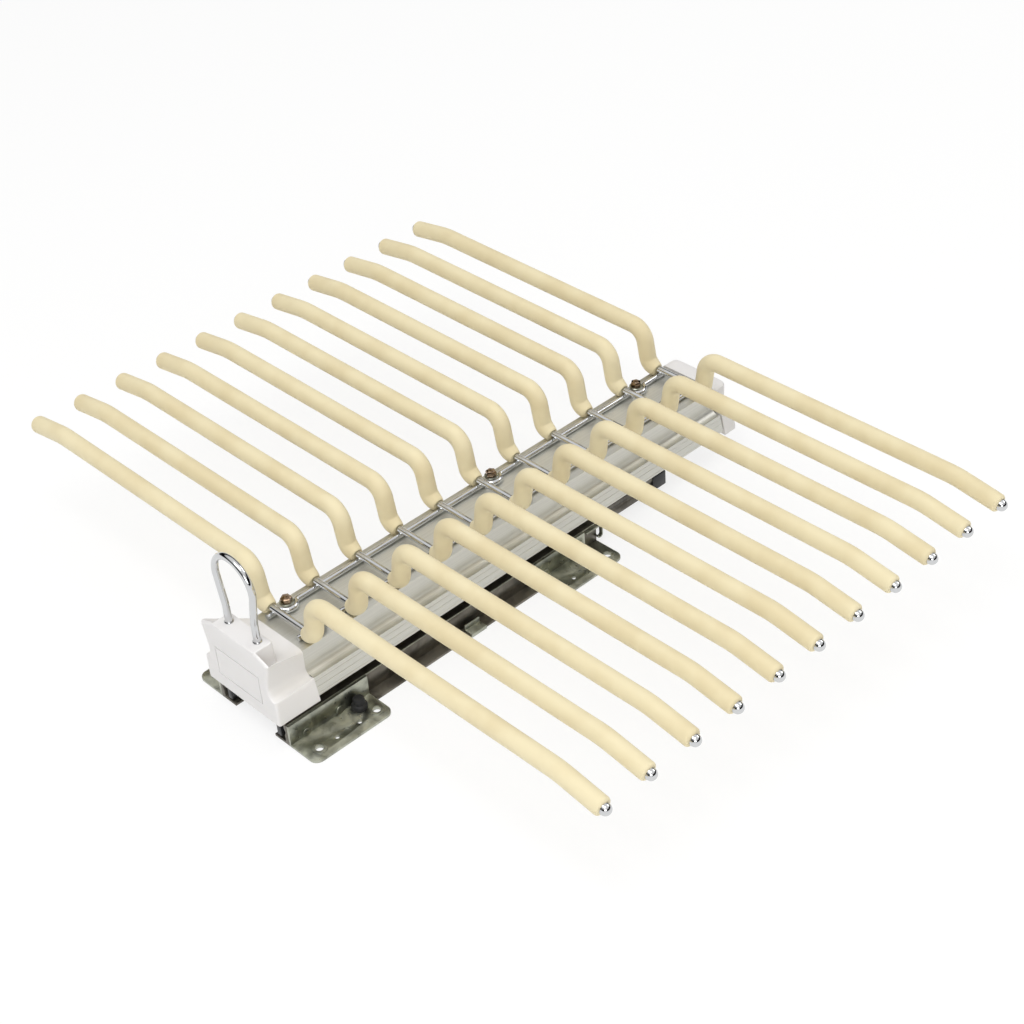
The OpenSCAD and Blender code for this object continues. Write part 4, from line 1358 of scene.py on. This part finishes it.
@dataclass
class Caps:
    """The moulded front cap with its handle block and bare panel, and the rear cap."""

    shape: CapShape
    layout: Layout
    shop: Workshop
    front_depth: float = 27.8
    rear_depth: float = 13.0
    edge: float = 1.6
    plate: float = 2.4
    loft_steps: int = 14
    edge_step: int = 15
    rear_edge: float = 4.0
    # The rolled rails are browner and darker than the brackets.
    seam: float = 1.2
    seam_depth: float = 7.0
    block_width: float = 36.0
    block_depth: float = 12.8
    block_foot: float = 44.0
    block_set: float = 0.02
    block_upright_radius: float = 1.6
    block_top_radius: float = 0.7
    block_draft: float = 0.6
    panel_width: float = 36.0
    panel_height: float = 17.5
    panel_z: float = 35.5
    groove: float = 0.7
    groove_depth: float = 0.6
    overrun: float = 1.0

    def ring(self, half: Sequence[Flat]) -> list[Flat]:
        """Full ring from its right half."""
        return list(half) + mirrored(half)

    def drawn_in(self, half: Sequence[Flat], inset: float, centre_z: float) -> list[Flat]:
        """Full ring from its right half, smaller by a share towards a height on the middle line."""
        return [(x * (1 - inset), centre_z + (z - centre_z) * (1 - inset)) for x, z in self.ring(half)]

    def edge_rings(
        self, half: Sequence[Flat], radius: float, centre_z: float, size: float
    ) -> list[tuple[list[Flat], float]]:
        """Rings that round an outline's far edge, each with its step outwards.

        Args:
            half: the outline's right half.
            radius: the edge's radius.
            centre_z: height of the point that it draws in to.
            size: half width that the radius is taken from.

        Returns:
            Each ring and how far out it stands.
        """
        found = []
        for angle in range(self.edge_step, 91, self.edge_step):
            inset = radius * (1 - math.cos(math.radians(angle))) / size
            found.append((self.drawn_in(half, inset, centre_z), radius * math.sin(math.radians(angle))))
        return found

    def finish(self, cap: bpy.types.Object, node: str) -> None:
        """Shades a cap and fixes it to the rack."""
        smooth_by_angle(cap.data, MOULDED_EDGE)
        Piece(cap.name, "white_plastic", (node,)).fix(cap)

    def build(self) -> None:
        """Makes both caps."""
        paint = self.shop.paint["white_plastic"]
        joint = self.shape.smoothed(self.shape.beam_half())
        self.build_front(joint, paint)
        self.build_rear(joint, paint)

    def build_front(self, joint: Sequence[Flat], paint: bpy.types.Material) -> None:
        """Lofts the front cap from the beam to its face, adds the block and cuts the panel's groove.

        Args:
            joint: right half of the outline that meets the beam.
            paint: its finish.
        """
        shape = self.shape
        valley = shape.smoothed(shape.face_half_outline(shape.valley))
        face = shape.smoothed(shape.face_half_outline(shape.plate_top))
        front_y = shape.beam.y0 - self.front_depth
        run = self.front_depth - self.plate
        rings, ys = [], []
        for k in range(self.loft_steps + 1):
            t = k / self.loft_steps
            half = [(a[0] * (1 - t) + b[0] * t, a[1] * (1 - t) + b[1] * t) for a, b in zip(joint, valley)]
            rings.append(self.ring(half))
            ys.append(shape.beam.y0 - run * t)
        rings.append(self.ring(face))
        ys.append(front_y + self.edge)
        centre_z = shape.foot_z + shape.face_height / 2
        for ring, out in self.edge_rings(face, self.edge, centre_z, shape.face_half):
            rings.append(ring)
            ys.append(front_y + self.edge - out)
        cap = mesh_object("front_end_cap", skin(rings, ys), paint)
        half_block = self.block_width / 2
        low = (-half_block, front_y + self.block_set, self.block_foot)
        high = (half_block, front_y + self.block_depth, self.layout.block_top)
        block = rounded_block(low, high, self.block_upright_radius, self.block_top_radius, self.block_draft)
        combine(cap, mesh_object("block", block, paint), "UNION")
        frame = [self.frame(self.groove), self.frame(0.0)]
        groove = prism(frame, front_y - self.overrun, front_y + self.groove_depth)
        combine(cap, mesh_object("groove", groove, paint), "DIFFERENCE")
        self.finish(cap, "front_cap")

    def frame(self, wider: float) -> list[Flat]:
        """Outline of the bare panel, or of a frame that is wider by some millimetres."""
        x, z = self.panel_width / 2 + wider, self.panel_height / 2 + wider
        return [(sx * x, self.panel_z + sz * z) for sx, sz in ((-1, -1), (1, -1), (1, 1), (-1, 1))]

    def build_rear(self, joint: Sequence[Flat], paint: bpy.types.Material) -> None:
        """Makes the rear cap, set off from the beam by a narrow, deep seam.

        Args:
            joint: right half of the outline that meets the beam.
            paint: its finish.
        """
        shape, y1 = self.shape, self.shape.beam.y1
        centre_z = (shape.foot_z + shape.beam.top) / 2
        run = self.rear_depth - self.rear_edge
        neck = self.drawn_in(joint, self.seam_depth / shape.beam.half_width, centre_z)
        rings = [neck, neck, self.ring(joint), self.ring(joint)]
        ys = [y1, y1 + self.seam, y1 + self.seam, y1 + run]
        for ring, out in self.edge_rings(joint, self.rear_edge, centre_z, shape.beam.half_width):
            rings.append(ring)
            ys.append(y1 + run + out)
        self.finish(mesh_object("rear_end_cap", skin(rings, ys), paint), "rear_cap")


@dataclass
class Handle:
    """The chromed bow that stands on the front cap."""

    layout: Layout
    shop: Workshop
    radius: float = 2.0
    half_width: float = 12.0
    bow_radius: float = 15.4
    tall: float = 49.8
    flare: float = 10.0
    flare_bend: float = 12.0
    y: float = -178.2
    sunk: float = 19.9
    # Height over the block and share of the rod's radius: the collar swells at once, stays full and
    # tapers off.
    collar: tuple[Flat, ...] = ((0.02, 1.25), (0.12, 1.3), (0.5, 1.3), (0.8, 1.12), (1.05, 1.0))
    over_collar: float = 1.3

    def line(self) -> tuple[list[Flat], list[float]]:
        """Middle line of the whole handle, with its share of the radius at each point.

        Returns:
            The points in X and height over the block, and the shares.
        """
        flare = math.radians(self.flare)
        middle = self.tall - self.radius - self.bow_radius
        spread = self.flare_bend * (1 - math.cos(flare))
        slope = (self.bow_radius * math.cos(flare) - self.half_width - spread) / math.sin(flare)
        leg = middle - (self.bow_radius + self.flare_bend) * math.sin(flare) - slope * math.cos(flare)
        foot = [(self.half_width, -self.sunk), (self.half_width, 0.0)]
        foot += [(self.half_width, height) for height, _ in self.collar]
        shares = [1.0, 1.0] + [share for _, share in self.collar]
        straight = leg - self.over_collar
        bow = BentBar((self.half_width, self.over_collar), heading=90.0, step=4.0, bend_step=5.0)
        bow.run(straight).turn(self.flare_bend, -self.flare).run(slope)
        bow.turn(self.bow_radius, 180 + 2 * self.flare)
        bow.run(slope).turn(self.flare_bend, -self.flare).run(straight)
        line = foot + bow.points + mirrored(foot)
        return line, shares + [1.0] * len(bow.points) + shares[::-1]

    def build(self) -> None:
        """Makes the handle as one bent bar with a collar at each foot."""
        line, shares = self.line()
        points = [(x, self.y, self.layout.block_top + z) for x, z in line]
        piece = Piece("handle_bow", "chromed_steel", ("pull_handle",))
        self.shop.bars.bar(piece, points, Section(self.radius, sides=32), shares)


@dataclass
class SlideAndBrackets:
    """The telescopic slide and its brackets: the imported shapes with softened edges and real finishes."""

    nodes: dict[str, bpy.types.Object]
    shop: Workshop
    rail_half: float = 29.0
    rail_top: float = 14.0
    rail_y0: float = -181.0
    rail_y1: float = 49.0
    # The burnished edge, partly a painted highlight: its radius, inset share and shortening at each end.
    edge_radius: float = 0.4
    edge_sunk: float = 0.75
    edge_short: float = 0.1
    stop_place: Point = (35.15, -137.8, 1.5)
    # Radius and height over the stop's foot, rim, waist and head.
    stop_profile: tuple[Flat, ...] = (
        (0.0, 0.0),
        (4.3, 0.0),
        (4.5, 0.3),
        (4.5, 2.4),
        (4.1, 3.1),
        (3.5, 3.5),
        (3.3, 6.2),
        (2.9, 6.8),
        (2.2, 7.0),
        (0.0, 7.0),
    )

    def build(self) -> None:
        """Makes the slide, the brackets and what stands on them."""
        self.build_edges()
        x, y, z = self.stop_place
        spots = [(side.value * x, y, z) for side in Side]
        stops = Piece("stop_buttons", "black_rubber", ("rubber_stops",), MOUNT_FRAME)
        self.shop.parts.scatter(stops, turned(self.stop_profile, sides=30), spots)
        self.soften()
        self.paint_hidden()

    def build_edges(self) -> None:
        """Draws the rail's burnished rolled edge on both sides, partly as a painted highlight."""
        inset = self.edge_radius * self.edge_sunk
        for side in Side:
            x, z = side.value * (self.rail_half - inset), self.rail_top - inset
            ends = [(x, self.rail_y0 + self.edge_short, z), (x, self.rail_y1 - self.edge_short, z)]
            # A lighter zinc strip than the rail: partly its bare edge, partly a painted highlight.
            piece = Piece(f"rolled_edge_{side.word}", "zinc_steel", body=MOUNT_FRAME)
            self.shop.bars.bar(piece, ends, Section(self.edge_radius, sides=12))

    def soften(self) -> None:
        """Replaces the visible pressings by copies with softened edges."""
        softened = [
            ("fixed_rail", "outer_rail_pressing", MOUNT_FRAME, "rail_steel", 0.25),
            ("middle_rail", "middle_rail_pressing", MIDDLE_SLIDE, "rail_steel", 0.2),
            ("inner_rail", "inner_rail_pressing", RACK, "rail_steel", 0.2),
            ("middle_rail_buffers", "slide_buffers", MIDDLE_SLIDE, "black_plastic", 0.4),
        ]
        for end in ("front", "rear"):
            for side in Side:
                node, name = f"{end}_bracket_{side.word}", f"{end}_angle_{side.word}"
                softened.append((node, name, MOUNT_FRAME, "zinc_steel", 0.3))
        softened.append(("bracket_rivets", "rivet_heads", MOUNT_FRAME, "zinc_steel", 0.2))
        softened.append(("rail_clips", "small_clips", MOUNT_FRAME, "zinc_steel", 0.15))
        for node, name, body, slot, edge in softened:
            machined_copy(self.nodes[node], Piece(name, slot, (node,), body), self.shop.paint, edge)

    def paint_hidden(self) -> None:
        """Paints the pieces that stay as they were packed."""
        kept = {
            "zinc_steel": ("handle_nuts", "beam_rivets", "outer_ball_cage", "inner_ball_cage"),
            "chromed_steel": ("outer_balls", "inner_balls"),
        }
        for slot, names in kept.items():
            for name in names:
                materials = self.nodes[name].data.materials
                materials.clear()
                materials.append(self.shop.paint[slot])


@dataclass
class Studio:
    """Pale floor, soft lamps, plain world and the camera at the photograph's angle."""

    # The floor's radius in metres, and how far it lies under the mounting face in millimetres.
    floor_radius: float = 6.0
    floor_drop: float = 0.05
    floor_colour: str = "#F6F6F5"
    # Share of the floor that is its own plain white, to the eye and in reflections.
    floor_glow: float = 0.78
    # World colours by the sine of the height over the horizon: white at the floor's edge, dark at the
    # sides, as the black screens that chrome mirrors, and a white ceiling.
    sky: tuple[tuple[float, str], ...] = (
        (0.0, "#FFFFFF"),
        (0.09, "#FFFFFF"),
        (0.12, "#0A0A0C"),
        (0.50, "#0A0A0C"),
        (0.60, "#C8C8C8"),
        (0.74, "#F6F6F6"),
        (1.0, "#FFFFFF"),
    )
    sky_strength: float = 0.98
    # Each lamp's place and width in metres and its power in watts, and every lamp's height by its width.
    lamps: tuple[tuple[str, Point, float, float], ...] = (
        ("key", (0.25, -0.75, 1.9), 1.1, 18.0),
        ("fill", (1.5, -1.3, 0.9), 1.2, 11.0),
        ("back", (0.5, 1.7, 1.5), 1.0, 8.0),
    )
    lamp_shape: float = 0.7
    # The camera's angles in degrees, its distance, lens and aim in millimetres, fitted to the photograph.
    azimuth: float = 49.16
    elevation: float = 37.04
    roll: float = -4.87
    distance: float = 1116.5
    lens: float = 70.72
    target: Point = (22.1, -8.1, 51.3)

    def build(self) -> None:
        """Builds the whole studio."""
        self.build_floor()
        self.build_world()
        for name, place, width, watts in self.lamps:
            self.hang_lamp(name, place, width, watts)
        bpy.context.scene.view_settings.view_transform = "Standard"
        self.build_camera()

    def build_floor(self) -> None:
        """Lays a plain pale floor under the mounting face."""
        form = bmesh.new()
        bmesh.ops.create_circle(form, cap_ends=True, segments=96, radius=self.floor_radius)
        bmesh.ops.translate(form, verts=form.verts, vec=(0, 0, -self.floor_drop * MM))
        mesh = baked(form, "studio_floor", turn_outwards=False)
        material = bpy.data.materials.new("floor_paper")
        tree = clear_tree(material)
        paper = add_node(tree, "ShaderNodeBsdfDiffuse", {"Color": linear(self.floor_colour)})
        glow = add_node(tree, "ShaderNodeEmission", {"Color": linear("#FFFFFF"), "Strength": 1.0})
        ray = add_node(tree, "ShaderNodeLightPath").outputs
        seen = ray["Is Camera Ray"]
        for kind in ("Is Glossy Ray", "Is Transmission Ray"):
            either = add_node(tree, "ShaderNodeMath", {0: seen, 1: ray[kind]}, operation="MAXIMUM")
            seen = either.outputs["Value"]
        share = add_node(tree, "ShaderNodeMath", {0: seen, 1: self.floor_glow}, operation="MULTIPLY")
        both = {"Fac": share.outputs["Value"], 1: paper.outputs["BSDF"], 2: glow.outputs["Emission"]}
        blend = add_node(tree, "ShaderNodeMixShader", both)
        add_node(tree, "ShaderNodeOutputMaterial", {"Surface": blend.outputs["Shader"]})
        mesh_object("studio_floor", mesh, material)

    def build_world(self) -> None:
        """Lights the scene softly from a white ceiling, between dark sides that the chrome mirrors."""
        world = bpy.data.worlds.new("studio")
        bpy.context.scene.world = world
        tree = clear_tree(world)
        way = add_node(tree, "ShaderNodeTexCoord").outputs["Generated"]
        height = add_node(tree, "ShaderNodeSeparateXYZ", {"Vector": way})
        sky = add_node(tree, "ShaderNodeValToRGB", {"Fac": height.outputs["Z"]}, stops=self.sky)
        plain = {"Color": sky.outputs["Color"], "Strength": self.sky_strength}
        light = add_node(tree, "ShaderNodeBackground", plain)
        add_node(tree, "ShaderNodeOutputWorld", {"Surface": light.outputs["Background"]})

    def hang_lamp(self, name: str, place: Point, width: float, watts: float) -> None:
        """Hangs a soft lamp that points at the middle of the rack.

        Args:
            name: the lamp's name.
            place: where it hangs, in metres.
            width: its width, in metres; it is lower than it is wide.
            watts: its power.
        """
        lamp = bpy.data.lights.new(name, "AREA")
        lamp.shape = "RECTANGLE"
        lamp.size = width
        lamp.size_y = width * self.lamp_shape
        lamp.energy = watts
        holder = bpy.data.objects.new(name, lamp)
        holder.location = place
        holder.rotation_mode = "QUATERNION"
        holder.rotation_quaternion = (-Vector(place)).to_track_quat("-Z", "Y")
        bpy.context.scene.collection.objects.link(holder)

    def build_camera(self) -> None:
        """Places the camera at the photograph's viewing angle."""
        azimuth, elevation, roll = (math.radians(v) for v in (self.azimuth, self.elevation, self.roll))
        flat = math.cos(elevation)
        back = Vector((math.sin(azimuth) * flat, -math.cos(azimuth) * flat, math.sin(elevation)))
        level = (-back).cross(Vector((0, 0, 1))).normalized()
        upright = level.cross(-back)
        right = level * math.cos(roll) + upright * math.sin(roll)
        up = upright * math.cos(roll) - level * math.sin(roll)
        lens = bpy.data.cameras.new("photo_angle")
        lens.lens = self.lens
        lens.sensor_width = 36.0
        lens.clip_start = 0.05
        lens.clip_end = 50.0
        camera = bpy.data.objects.new("photo_angle", lens)
        frame = Matrix((right, up, back)).transposed().to_4x4()
        frame.translation = (Vector(self.target) + back * self.distance) * MM
        camera.matrix_world = frame
        bpy.context.scene.collection.objects.link(camera)
        bpy.context.scene.camera = camera


def main() -> None:
    """Builds the rack's looks, one sub-assembly after the other."""
    logging.basicConfig(level=logging.INFO, format="%(message)s")
    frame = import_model()
    shop = Workshop()
    layout = Layout()
    Arms(layout, shop).build()
    Ladder(layout, shop).build()
    beam = Beam(shop)
    beam.build()
    Caps(CapShape(beam), layout, shop).build()
    Handle(layout, shop).build()
    SlideAndBrackets(frame["nodes"], shop).build()
    Studio().build()


if __name__ == "__main__":
    main()
